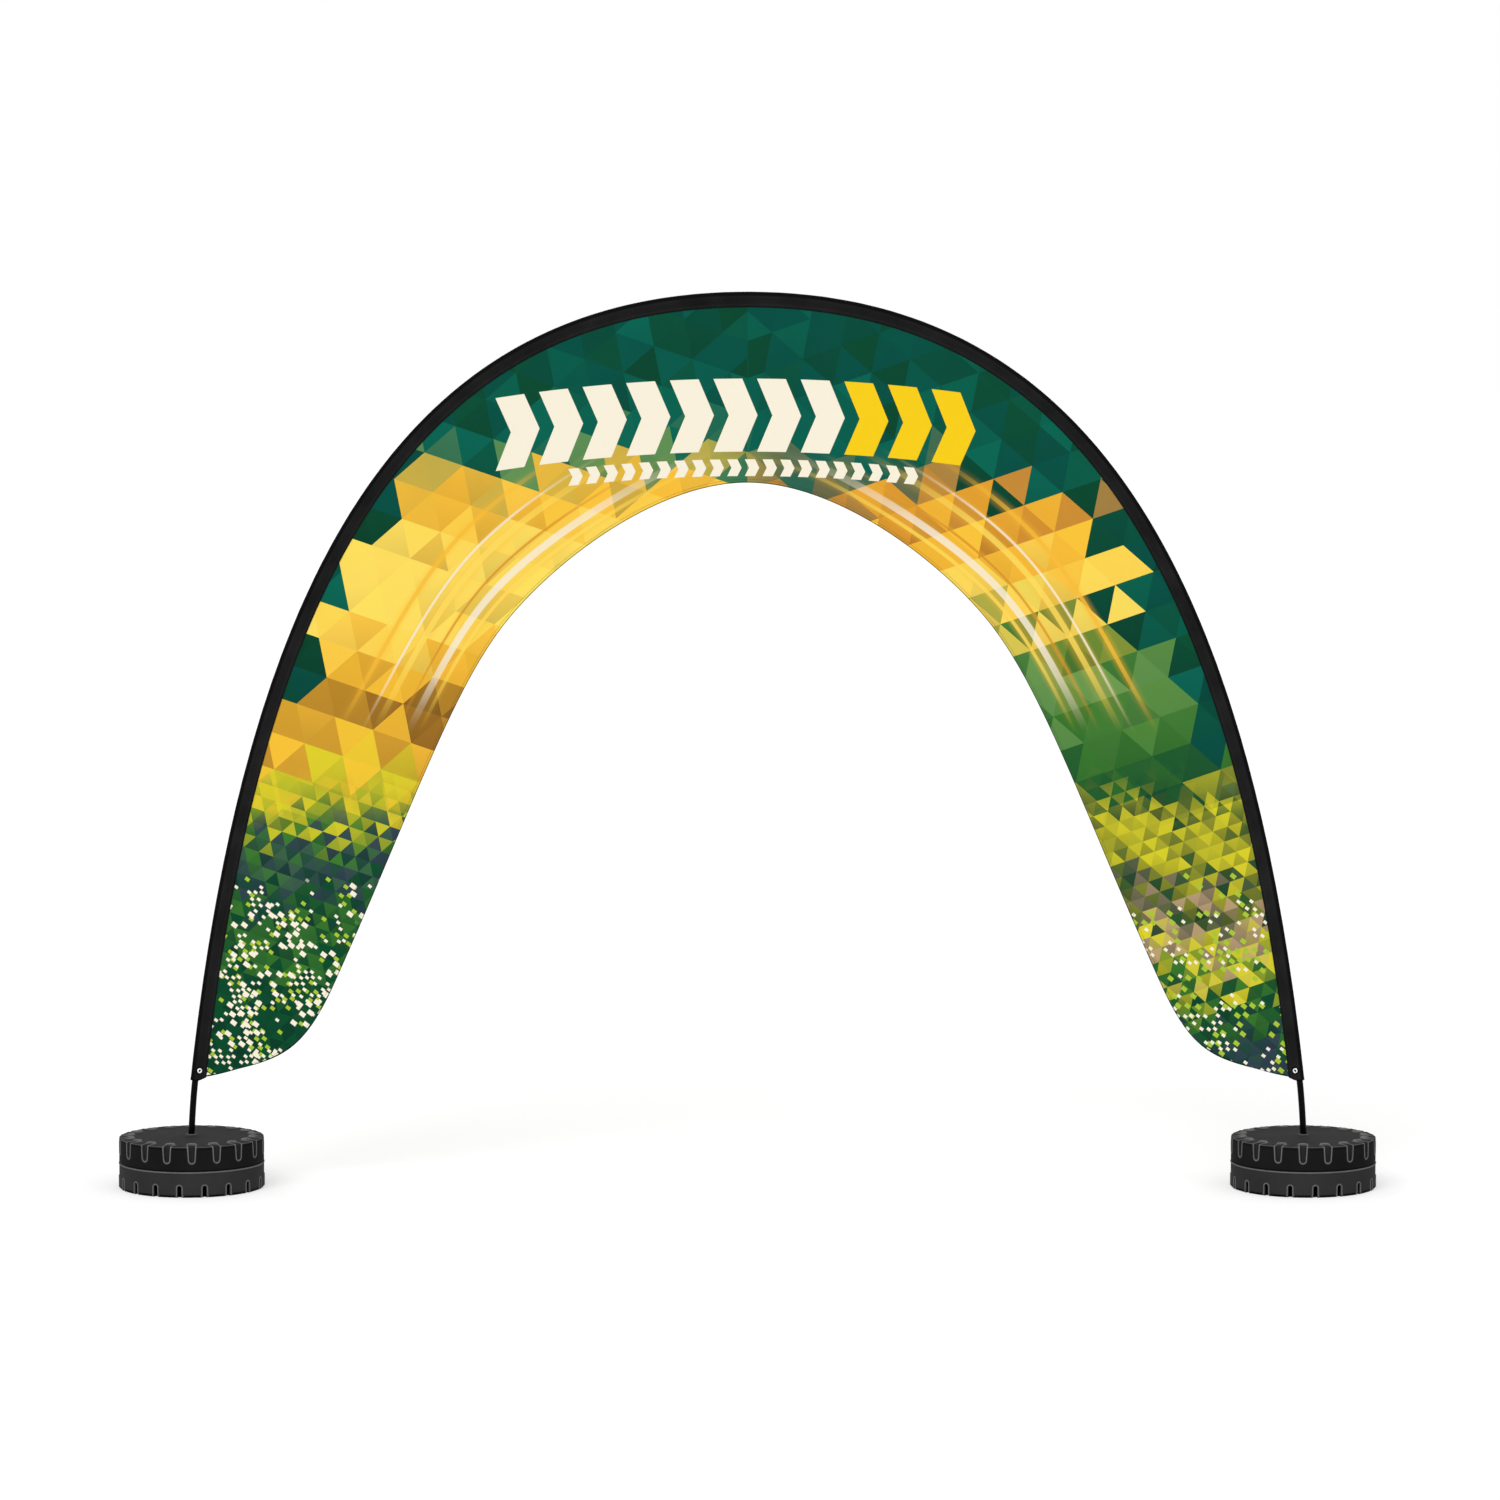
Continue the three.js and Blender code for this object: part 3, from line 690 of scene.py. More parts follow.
def panel_print():
    """The printed cloth: mosaic, ribbons, chevrons and diamonds on a ribbed knit, with the hem's darker
    fold, painted shade along the rolled edge under the lobes, and the dent of its sewing."""
    finish = Finish(
        "printed_cloth", Roughness=0.82, Sheen_Weight=0.02, Sheen_Roughness=0.5, Specular_IOR_Level=0.08,
    )
    x, _, z = finish.place()
    from_edge = finish.field("from_edge")
    along_edge = finish.field("along_edge")

    coarse, coarse_chance, coarse_slope = mosaic(finish, x, z, LARGE_FACET, 0.16)
    fine, fine_chance, fine_slope = mosaic(finish, x, z, SMALL_FACET, 0.24)
    low = z.under(LEG_TOP, 0.25)
    colour = finish.blend(low, coarse, fine)

    # Each facet is a little lighter or darker, and shaded from its foot to its top.
    crown = z.over(CROWN_LOW, 0.2)
    chance = coarse_chance * (1 - low) + fine_chance * low
    slope = coarse_slope * (1 - low) + fine_slope * low
    clouds = finish.noise(2.6, detail=4.0)
    light = (chance - 0.5) * (0.42 - crown * 0.30 + low * 0.25) + slope * (0.18 - crown * 0.1)
    light = light + (clouds - 0.5) * (0.25 + crown * 0.35)
    colour = finish.blend(light.most(0.0), colour, srgb(255, 240, 170), "SOFT_LIGHT")
    colour = finish.blend(light.least(0.0) * -1.0, colour, srgb(0, 20, 22))

    wave = from_edge + (along_edge * 2.3).sine() * 0.035 + (along_edge * 5.1).sine() * 0.012
    colour = ribbons(finish, colour, wave, z.near(1.86, 0.30, 0.3))

    # Small diamonds in drifts on the legs: lime and cream to the left, lime and a few cream to the right.
    slant_x = x + z * 0.3
    legs = {-1: x.under(0.0), 1: x.over(0.0)}
    for row in DIAMONDS:
        mask = diamonds(finish, slant_x + row["shift"], z, row["pitch"], row["size"], row["share"])
        colour = finish.blend(mask * legs[row["leg"]], colour, srgb(*row["tint"]))

    # Chevrons over the crown, the last three yellow, with a row of small cream ones below.
    bow = x * x * ROW_BOW
    large, cell = chevron_row(x, z + bow - LARGE_ROW_HIGH, **LARGE_CHEVRONS)
    tint = finish.blend(cell.over(YELLOW_FROM, 0.02), srgb(*CREAM), srgb(*YELLOW))
    colour = finish.blend(large, colour, tint)
    small, _ = chevron_row(x, z + bow - SMALL_ROW_HIGH, **SMALL_CHEVRONS)
    colour = finish.blend(small, colour, srgb(*CREAM))

    # The turned edge: a little darker along its fold, and painted shade, near black, where the rolled edge
    # faces down under the lobes.
    lobe = z.under(0.44, 0.05)
    fold = from_edge.under(0.0034, 0.0012) * 0.65
    rolled_edge_shade = from_edge.under(0.0055, 0.0015) * lobe
    colour = finish.blend(fold, colour, srgb(10, 40, 30))
    colour = finish.blend(rolled_edge_shade, colour, srgb(*LOBE_EDGE_SHADE))
    finish.colour(colour)

    # Knit: two sets of fine ribs, with slow unevenness and the dent of the hem's sewing.
    ribs = (x * (2 * math.pi / KNIT_ACROSS)).sine() * 0.5 + (z * (2 * math.pi / KNIT_UP)).sine() * 0.5
    slub = finish.noise(420.0, detail=2.0)
    sewing = from_edge.near(HEM_ROW, 0.9 * MM, 1.2 * MM) * -1.0
    finish.relief((ribs, 0.00008, 0.5), (slub, 0.0002, 0.35), (sewing, 0.0005, 0.6))
    finish.roughness(finish.noise(60.0) * 0.12 + 0.76)
    return finish.material


def sleeve_finish():
    """Dark woven polyester: twill lines, with painted shade darkening it along the outer fold and the sewn
    edge, at the end and round the eyelet."""
    finish = Finish(
        "sleeve_cloth", Roughness=0.9, Sheen_Weight=0.015, Sheen_Roughness=0.5, Specular_IOR_Level=0.05,
    )
    along, round_fold = finish.field("along"), finish.field("across")
    from_end = finish.field("from_end")
    from_eyelet = finish.field("from_eyelet")
    mottle = finish.noise(9.0, detail=4.0)
    colour = finish.ramp(mottle, [(0.32, srgb(25, 25, 26)), (0.70, srgb(37, 37, 38))])
    # Painted shade, near black: where the outer fold turns away, along the band's sewn edge, at the
    # sleeve's end and in a ring round each eyelet.
    dark = srgb(5, 5, 6)
    colour = finish.blend(abs(round_fold).under(0.019, 0.008) * 0.9, colour, dark)
    colour = finish.blend(abs(round_fold).over(STRIP_HALF - 0.0042, 0.0016) * 0.7, colour, dark)
    colour = finish.blend(from_end.under(0.0045, 0.002), colour, dark)
    colour = finish.blend(from_eyelet.under(0.0125, 0.003) * 0.9, colour, dark)
    finish.colour(colour)
    twill = ((along + round_fold) * (2 * math.pi / TWILL_FINE)).sine()
    cross = ((along - round_fold) * (2 * math.pi / TWILL_CROSS)).sine()
    finish.relief((twill + cross * 0.4, 0.0001, 0.5), (finish.noise(260.0), 0.0003, 0.3))
    finish.roughness(mottle * 0.1 + 0.85)
    return finish.material


def thread_finish(name, *tint):
    """Spun thread: a low sheen, and a tint and a surface that are a little uneven."""
    finish = Finish(name, Roughness=0.7, Sheen_Weight=0.2, Specular_IOR_Level=0.25)
    uneven = finish.noise(900.0, detail=1.0)
    finish.colour(finish.ramp(uneven, [(0.3, srgb(*tint)), (0.7, srgb(*(t * 1.25 for t in tint)))]))
    finish.relief((uneven, 0.0001, 0.5))
    return finish.material


def pole_finish():
    """Glossy black fibreglass: faint lengthwise fibres and a few small scuffs."""
    finish = Finish("pole_black", Roughness=0.25, Specular_IOR_Level=0.05)
    x, y, z = finish.place()
    fibres = finish.noise(40.0, detail=3.0, at=finish.vector(x * 12.0, y * 12.0, z * 0.4))
    scuffs = finish.noise(70.0, detail=5.0)
    colour = finish.ramp(fibres, [(0.35, srgb(3, 3, 3)), (0.75, srgb(9, 9, 9))])
    colour = finish.blend(scuffs.over(0.70, 0.05) * 0.12, colour, srgb(40, 40, 42))
    finish.colour(colour)
    finish.roughness(scuffs * 0.10 + 0.18)
    finish.relief((fibres, 0.00005, 0.15))
    return finish.material


def eyelet_finish():
    """Bright nickel plate: slight greying, uneven gloss and small dents."""
    finish = Finish("eyelet_nickel", Roughness=0.22, Metallic=1.0)
    uneven = finish.noise(300.0, detail=3.0)
    finish.colour(finish.ramp(uneven, [(0.3, srgb(214, 215, 218)), (0.7, srgb(246, 246, 247))]))
    finish.roughness(uneven * 0.2 + 0.14)
    finish.relief((uneven, 0.0001, 0.3))
    return finish.material


def base_finish(name, side_tints, top_dust_and_light_tints):
    """Moulded plastic: fine grain and flow marks, top faces lighter with dust and painted top light,
    painted shade in crevices, and paler wear and painted highlights on beads and edges."""
    finish = Finish(name, Roughness=0.7, Specular_IOR_Level=0.02)
    wear_and_highlight, dust_and_top_light, shade = finish.field("wear_and_highlight"), finish.field("dust_and_top_light"), finish.field("shade")
    flow = finish.noise(6.0, detail=5.0, roughness=0.6)
    grain = finish.noise(700.0, detail=2.0)
    side, top = (
        finish.ramp(flow, [(0.3, srgb(dark, dark, dark)), (0.7, srgb(light, light, light))])
        for dark, light in (side_tints, top_dust_and_light_tints)
    )
    # Top faces take the lighter tint, for dust and painted top light; crevices take painted shade; beads
    # and edges take pale wear and painted highlight.
    colour = finish.blend(dust_and_top_light, side, top)
    colour = finish.blend(shade, colour, srgb(5, 5, 5))
    rubbed_and_highlit = wear_and_highlight * (finish.noise(45.0, detail=4.0) * 0.5 + 0.7)
    colour = finish.blend(rubbed_and_highlit.least(1.0), colour, srgb(122, 122, 123))
    finish.colour(colour)
    finish.roughness(flow * 0.15 + 0.62)
    finish.relief((grain, 0.0003, 0.3), (finish.noise(90.0), 0.0004, 0.15))
    return finish.material


# ---- Cloth ----

def crease_depth(place, share):
    """The taut cloth's depth: bells along the arch, growing as an S-curve from seam to free edge."""
    depth = sum(row["depth"] * MM * bump(place - row["at"], row["width"]) for row in CREASES)
    return depth * smooth(share)


def panel_span(place):
    """Points of the panel's two edges, the one in the band and the free one, at places from -1 (left
    foot) to 1 (right foot) along both, and the width between them."""
    seam = in_sleeve(place * (FOLD_LENGTH - SEAM_STOP), SEAM_INSET, 0.0)
    edge_x, edge_z = GATEWAY_EDGE.at(np.abs(place))
    free = np.stack([np.sign(place) * edge_x, np.zeros_like(edge_x), edge_z], axis=-1)
    return seam, free, np.linalg.norm(free - seam, axis=-1)


def panel_surface(place, share):
    """Middle of the panel at a place along it and a share from seam to free edge: the straight line
    between them, dipped a little at the feet and moved in Y by the creases, by fine puckers that fade
    away from the seam and by slanting ripples over the whole width. Gives the width too."""
    along = place * (FOLD_LENGTH - SEAM_STOP)
    seam, free, width = panel_span(place)
    point = seam + (free - seam) * share[..., None]
    sag = FOOT_SAG * np.exp(-(1 - np.abs(place)) * FOLD_LENGTH / SAG_REACH)
    point[..., 2] -= sag * 4 * share * (1 - share)
    depth = crease_depth(place, (share * width - SEAM_FLAT) / (width - SEAM_FLAT))
    away = share * width
    pucker = np.sin(along * 61 + 1.3 * np.sin(along * 7.7)) * bump(away - 35 * MM, 30 * MM)
    ripple = np.sin(along * 23 + away * 16 + 2.1 * np.sin(along * 3.1)) * smooth(away / (100 * MM))
    fine = pucker * PUCKER_HIGH + ripple * RIPPLE_HIGH
    point[..., 1] += depth + fine * smooth((away - 10 * MM) / (6 * MM))
    return point, width


def build_panel():
    """The printed cloth with its turned hem: two faces half a thickness from the middle surface, the
    thickness doubling over the hem and closing in a half round at the free edge."""
    # Places along the arch, close together at the feet, where the lower edge is turned too.
    foot = np.array([0.25, 0.6, 1.2, 2.0, 4, 7, 9.5, 11, 12, 13.5, 17, 23, 31, 41]) * MM / FOLD_LENGTH
    inner = np.linspace(0, 1 - 52 * MM / FOLD_LENGTH, 300)
    right = np.concatenate([inner, 1 - foot[::-1], [1.0]])
    place = np.concatenate([-right[:0:-1], right])[:, None]
    width = panel_span(place)[2]

    # Distances from the seam, close together there and at the hem. Where the panel is narrow, each of
    # the two close sets squeezes into 0.4 of its width.
    near_seam = np.array([0, 3, 7, 10.5, 13, 18, 25, 34, 46, 62, 80]) * MM
    near_edge = np.array([60, 36, 22, 15, 13.2, 12.4, 11.6, 10.6, 9, 6, 3, 1.6, 0.9, 0.4, 0.1, 0.0]) * MM
    middle = np.linspace(0, 1, 20)[1:-1]
    from_seam = near_seam * np.minimum(0.4 * width / near_seam[-1], 1)
    to_edge = near_edge * np.minimum(0.4 * width / near_edge[0], 1)
    first, last = from_seam[:, -1:], width - to_edge[:, :1]
    away = np.concatenate([from_seam, first + (last - first) * middle, width - to_edge], axis=1)
    share = away / width
    place = np.broadcast_to(place, share.shape)
    point, width = panel_surface(place, share)

    # The hem runs along the free edge and, clear of the seam, along the lower edge at each foot.
    from_edge = (1 - share) * width
    from_foot = (1 - np.abs(place)) * FOLD_LENGTH
    from_hem = np.minimum(from_edge, np.where(away > THIN_EDGE + 2 * MM, from_foot, 1.0))
    hem = smooth((HEM_WIDE + 0.8 * MM - from_hem) / (1.6 * MM))
    thick = PANEL_CLOTH + (HEM_CLOTH - PANEL_CLOTH) * hem
    rim = np.clip(from_hem / (thick / 2), 0, 1)
    half = thick / 2 * np.sqrt(np.clip(1 - (1 - rim) ** 2, 0.02, 1))
    half *= np.where(away < THIN_EDGE, 0.8, 1.0)
    shift = half[..., None] * np.array([0.0, 1.0, 0.0])
    points, quads, used = thick_sheet(point - shift, point + shift)

    fields = {
        "from_edge": both_faces(from_hem, used),
        "along_edge": both_faces(np.abs(place) * GATEWAY_EDGE.length, used),
    }
    panel = make_piece("panel_print", points, [quads], panel_print(), fields, crease=60)
    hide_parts("panel")
    return panel


def strip_section():
    """Lengths along the sleeve's folded strip from its outer fold: the round, the flank and the band.
    The flank's slope is that of the line that touches the inside of the round and reaches the inside
    of the band where the band starts."""
    start = SLEEVE_WIDE - BAND_WIDE - FOLD_CENTRE
    gap = BAND_MID - SOLID_HALF_CLOTH
    slope = math.asin((FOLD_RADIUS - SOLID_HALF_CLOTH) / math.hypot(start, gap)) - math.atan2(gap, start)
    bend = FOLD_CENTRE + (FOLD_RADIUS - BAND_MID * math.cos(slope)) / math.sin(slope)
    turn = math.pi / 2 + slope
    leave = (FOLD_CENTRE + FOLD_RADIUS * math.sin(slope), FOLD_RADIUS * math.cos(slope))
    flank = math.hypot(bend - leave[0], leave[1] - BAND_MID)
    return dict(
        slope=slope, bend=bend, leave=leave, round=FOLD_RADIUS * turn, flank=flank, band=SLEEVE_WIDE - bend,
    )


STRIP = strip_section()
STRIP_HALF = STRIP["round"] + STRIP["flank"] + STRIP["band"]
EYELET_ACROSS = STRIP["round"] + (EYELET_INSET - STRIP["leave"][0]) / math.cos(STRIP["slope"])


def strip_place(across):
    """Inset, depth and outward normal of the strip's middle at a length across it from the outer
    fold, negative on the front layer: a circle about the pole, then a straight flank, then the band."""
    side = np.sign(across)
    length = np.abs(across)
    angle = np.minimum(length, STRIP["round"]) / FOLD_RADIUS
    on_flank = np.clip((length - STRIP["round"]) / STRIP["flank"], 0, 1)
    on_band = np.maximum(length - STRIP["round"] - STRIP["flank"], 0)
    inset = np.where(
        length <= STRIP["round"],
        FOLD_CENTRE - FOLD_RADIUS * np.cos(angle),
        STRIP["leave"][0] + (STRIP["bend"] - STRIP["leave"][0]) * on_flank + on_band,
    )
    depth = np.where(
        length <= STRIP["round"],
        FOLD_RADIUS * np.sin(angle),
        STRIP["leave"][1] + (BAND_MID - STRIP["leave"][1]) * on_flank,
    )
    turned = smooth((length - STRIP["round"] - STRIP["flank"] + 1.2 * MM) / (2.4 * MM))
    facing = angle + (math.pi - angle - math.pi / 2) * turned * (length > STRIP["round"])
    return inset, side * depth, -np.cos(facing), side * np.sin(facing)


def sleeve_ripple(along, across):
    """Small oblique puckers: narrow ridges about every tenth of a metre at changing distances, slanted
    across the strip, strongest in the middle of a flank and weak on the round fold and the band."""
    phase = along * 58 + 1.5 * np.sin(along * 5.3) + 0.9 * np.sin(along * 12.7 + 1.0)
    slant = np.abs(across) * 48 * np.where(across < 0, 1, -1)
    ridge = (0.5 + 0.5 * np.sin(phase + slant)) ** 2 - 0.35
    second = np.sin(along * 131 + 2 * np.sin(along * 9.1) - slant * 1.7) * 0.25
    strength = 0.65 + 0.35 * np.sin(along * 2.9 + 0.7)
    length = np.abs(across)
    flank = bump(length - STRIP["round"] - STRIP["flank"] * 0.55, 15 * MM)
    return (ridge + second) * strength * (0.25 + 1.15 * flank) * MM


def sleeve_lines():
    """Stations along the sleeve and columns across its strip, with a square block of cells, two cuts
    wide, at each eyelet."""
    steps = np.array([
        -5.4, -4.2, -3.2, -2.5, -2, -1.6, -1.3, -1, -0.5, 0, 0.5, 1, 1.3, 1.6, 2, 2.5, 3.2, 4.2,
    ])
    eyelet = FOLD_LENGTH - EYELET_UP + steps * EYELET_CUT
    end = FOLD_LENGTH - np.array([9, 8, 7, 6, 5, 4, 3, 2, 1.2, 0.6, 0.2, 0]) * MM
    eyelet = eyelet[eyelet < end[0] - 0.5 * MM]
    main = np.linspace(0, eyelet[0], int(eyelet[0] / (9.6 * MM)))[:-1]
    right = np.concatenate([main, eyelet, end])
    stations = np.concatenate([-right[:0:-1], right])
    flank = EYELET_ACROSS + np.array([-1, -0.5, 0, 0.5, 1]) * EYELET_CUT
    bend = STRIP["round"] + STRIP["flank"]
    near = spaced((0, 26 * MM, 11), (26 * MM, flank[0], 1))
    far = spaced((flank[-1] + 2 * MM, bend - 1.2 * MM, 3), (bend - 1.2 * MM, bend + 1.2 * MM, 4))
    band = spaced((bend + 3 * MM, STRIP_HALF - 0.4 * MM, 4), (STRIP_HALF - 0.4 * MM, STRIP_HALF, 1))
    half = np.concatenate([near[:-1], flank, far, band])
    return stations, np.concatenate([-half[:0:-1], half])


def drawn_round(along, across):
    """Moves the lines about each eyelet so that the square of cells there becomes a circle: a point at
    square distance m and true distance e goes to m / e of its place, fading out at three and a half
    times the hole's radius. Gives the distance from the eyelet too."""
    off_along = along - side_of(along) * (FOLD_LENGTH - EYELET_UP)
    off_across = across + EYELET_ACROSS
    square = np.maximum(np.abs(off_along), np.abs(off_across))
    true = np.maximum(np.hypot(off_along, off_across), 1e-9)
    fade = smooth((square - EYELET_CUT) / (2.5 * EYELET_CUT))
    pull = np.where(square > 1e-9, square / true, 1.0)
    scale = pull + (1 - pull) * fade
    return along + off_along * (scale - 1), across + off_across * (scale - 1), true * scale


def past_corner(along, inset):
    """The place along the sleeve once its end's corner is rounded: at the end, points move back by
    the rise times (how far in from the corner's start, as a share) to its power, and those further up
    by less."""
    cut = TAB_RISE * (np.maximum(inset - TAB_START, 0) / (SLEEVE_WIDE - TAB_START)) ** TAB_POWER
    near = 1 - np.clip((FOLD_LENGTH - np.abs(along)) / TAB_BLEND, 0, 1)
    return along - side_of(along) * cut * near


def build_sleeve():
    """The sleeve: a strip folded round the pole, its faces half a thickness from the strip's middle,
    with a round hole for each eyelet and a rounded corner at each end."""
    stations, columns = sleeve_lines()
    along, across = np.meshgrid(stations, columns, indexing="ij")
    mid_along = np.abs(stations[:-1] + np.diff(stations) / 2)
    mid_across = columns[:-1] + np.diff(columns) / 2
    hole_along = np.abs(mid_along - FOLD_LENGTH + EYELET_UP) < EYELET_CUT
    hole_across = np.abs(mid_across + EYELET_ACROSS) < EYELET_CUT
    kept = ~(hole_along[:, None] & hole_across[None, :])
    along, across, from_eyelet = drawn_round(along, across)
    inset, depth, out_inset, out_depth = strip_place(across)

    placed = past_corner(along, inset)
    to_end = FOLD_LENGTH - np.abs(along)

    # Puckers die away at the eyelet and the end, the end is turned in and so a little thicker, and the
    # cloth is pressed in round the eyelet.
    calm = smooth((from_eyelet - 8 * MM) / (16 * MM)) * smooth((to_end - 4 * MM) / (20 * MM))
    ripple = sleeve_ripple(along, across) * calm
    hem = 0.35 * MM * (1 - smooth((to_end - 7 * MM) / (1.5 * MM))) * (np.abs(across) < STRIP_HALF)
    dent = -0.35 * MM * bump(from_eyelet - 7.2 * MM, 2.2 * MM)
    faces = []
    for layer in (1, -1):
        offset = layer * (SLEEVE_CLOTH / 2 + hem * (layer > 0)) + ripple + dent
        faces.append(in_sleeve(placed, inset + out_inset * offset, depth + out_depth * offset))
    points, quads, used = thick_sheet(faces[0], faces[1], kept)
    fields = {
        "along": both_faces(along, used),
        "across": both_faces(across, used),
        "from_end": both_faces(to_end, used),
        "from_eyelet": both_faces(np.minimum(from_eyelet, 0.05), used),
    }
    sleeve = make_piece("pole_sleeve", points, [quads], sleeve_finish(), fields, crease=50)
    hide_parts("sleeve")
    return sleeve


# ---- Sewing ----

def stitches(name, centres, ways, normals, finish):
    """A row of separate stitches: each is three four-sided rings, low and narrow at its ends and
    standing up in its middle, set along its way and facing its normal."""
    sides = np.cross(normals, ways)
    ring_at = np.array([-0.5, 0.0, 0.5]) * STITCH_LONG
    ring_up = np.array([-0.15, 0.55, -0.15]) * STITCH_THICK
    ring_half = np.array([0.3, 0.6, 0.3]) * STITCH_THICK
    corner = np.array([[1, 0], [0, 1], [-1, 0], [0, -1]])
    local = np.stack([
        np.repeat(ring_at, 4),
        (ring_half[:, None] * corner[:, 0]).ravel(),
        (ring_up[:, None] + ring_half[:, None] * corner[:, 1]).ravel(),
    ], axis=-1)
    frames = np.stack([ways, sides, normals], axis=1)
    points = centres[:, None, :] + np.einsum("mk,nkj->nmj", local, frames)
    body = grid_quads(3, 4, wrap=True)
    shape = np.concatenate([body, [[3, 2, 1, 0], [8, 9, 10, 11]]])
    quads = (np.arange(len(centres))[:, None, None] * 12 + shape).reshape(-1, 4)
    return make_piece(name, points, [quads], finish, crease=80)


def sew_sleeve(finish):
    """Two rows of stitches on each face of the band."""
    reach = FOLD_LENGTH - BAND_ROW_STOP
    along = np.arange(-reach, reach, STITCH_PITCH)
    parts = []
    for inset in BAND_ROWS:
        placed = past_corner(along, inset)
        for face in (-1, 1):
            across = face * (STRIP_HALF - (SLEEVE_WIDE - inset))
            lift = SLEEVE_CLOTH / 2 + sleeve_ripple(along, across)
            centre = in_sleeve(placed, inset, face * (BAND_MID + lift))
            ahead = in_sleeve(placed + 0.5 * MM, inset, face * (BAND_MID + lift))
            way = ahead - centre
            way /= np.linalg.norm(way, axis=1)[:, None]
            parts.append((centre, way, np.broadcast_to([0.0, face, 0.0], centre.shape)))
    centres, ways, normals = (np.concatenate(group) for group in zip(*parts))
    return stitches("sleeve_sewing", centres, ways, normals, finish)


def sew_hem(finish):
    """One row of stitches on each face of the hem, set end to end at one distance from the free edge."""
    place = np.arange(-HEM_ROW_REACH, HEM_ROW_REACH, HEM_PITCH / FOLD_LENGTH)
    centre, ahead = (
        panel_surface(at, 1 - HEM_ROW / panel_span(at)[2])[0]
        for at in (place, place + 0.1 * STITCH_PITCH / FOLD_LENGTH)
    )
    way = ahead - centre
    way /= np.linalg.norm(way, axis=1)[:, None]
    parts = []
    for face in (-1, 1):
        lift = np.array([0.0, face * HEM_CLOTH / 2, 0.0])
        parts.append((centre + lift, way, np.broadcast_to([0.0, face, 0.0], way.shape)))
    centres, ways, normals = (np.concatenate(group) for group in zip(*parts))
    return stitches("hem_sewing", centres, ways, normals, finish)


# ---- Pole and eyelets ----

def pole_line():
    """Axis and radius of the pole from the left socket to the right: inside the sleeve it bears on the
    outer fold, then it is bare on a cubic to the collar, and straight in its socket."""
    share = 1 - (1 - np.linspace(0, 1, 150)) ** 1.15    # stations closer together at the feet
    up = (1 - share) * FOLD_LENGTH
    thin = smooth((up - POLE_THICK_RUN) / (FOLD_LENGTH - POLE_THICK_RUN))
    radius = POLE_FOOT + (POLE_CROWN - POLE_FOOT) * thin
    bearing = POLE_BEARING + radius
    bearing += np.maximum(POLE_FOOT_INSET - bearing, 0) * (1 - smooth(up / POLE_EASE_RUN))
    hidden = in_sleeve(share * FOLD_LENGTH, bearing, 0.0)[:, ::2]
    bare = Path([
        dict(x=hidden[-1, 0], z=hidden[-1, 1], lean=FOOT_LEAN, before=0, after=POLE_HANDLE),
        dict(x=BASE_HALF_SPAN, z=COLLAR_TOP, lean=POLE_LEAN, before=POLE_HANDLE, after=0),
    ])
    bare_x, bare_z = bare.at(np.linspace(0, 1, 25)[1:])
    down = np.array([math.sin(POLE_LEAN), -math.cos(POLE_LEAN)])
    depth = np.array([[0.4], [0.8], [0.99], [1.0]]) * SOCKET_DEPTH
    end = np.array([BASE_HALF_SPAN, COLLAR_TOP]) + down * depth
    right = np.concatenate([hidden, np.column_stack([bare_x, bare_z]), end])
    rest = np.full(len(right) - len(hidden), POLE_FOOT)
    rest[-1] -= POLE_END_LESS
    thickness = np.concatenate([radius, rest])
    left = right[:0:-1] * [-1, 1]
    return np.concatenate([left, right]), np.concatenate([thickness[:0:-1], thickness])


def build_pole():
    """The pole: circles about its axis, each square to the line, with rounded ends."""
    line, radius = pole_line()
    way = np.gradient(line, axis=0)
    way /= np.hypot(way[:, 0], way[:, 1])[:, None]
    angle = np.linspace(0, 2 * math.pi, 40, endpoint=False)
    out = radius[:, None] * np.cos(angle)
    rings = np.stack([
        line[:, 0, None] - out * way[:, 1, None],
        radius[:, None] * np.sin(angle),
        line[:, 1, None] + out * way[:, 0, None],
    ], axis=-1)
    poles = [np.array([line[k, 0], 0.0, line[k, 1]]) for k in (0, -1)]
    points, faces = round_piece(rings, *poles)
    pole = make_piece("bent_pole", points, faces, pole_finish())
    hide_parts("pole")
    return pole


def eyelet_seat(side):
    """Middle of an eyelet on the front layer's inner face, and the way that layer faces."""
    slope = STRIP["slope"]
    inner = FOLD_RADIUS - SOLID_HALF_CLOTH
    depth = -(inner - (EYELET_INSET - FOLD_CENTRE) * math.sin(slope)) / math.cos(slope)
    along = side * (FOLD_LENGTH - EYELET_UP)
    middle = in_sleeve(along, EYELET_INSET, depth)
    inward = in_sleeve(along, EYELET_INSET + MM, depth) - middle
    inward /= np.linalg.norm(inward)
    return middle, inward * math.sin(slope) + np.array([0.0, -math.cos(slope), 0.0])


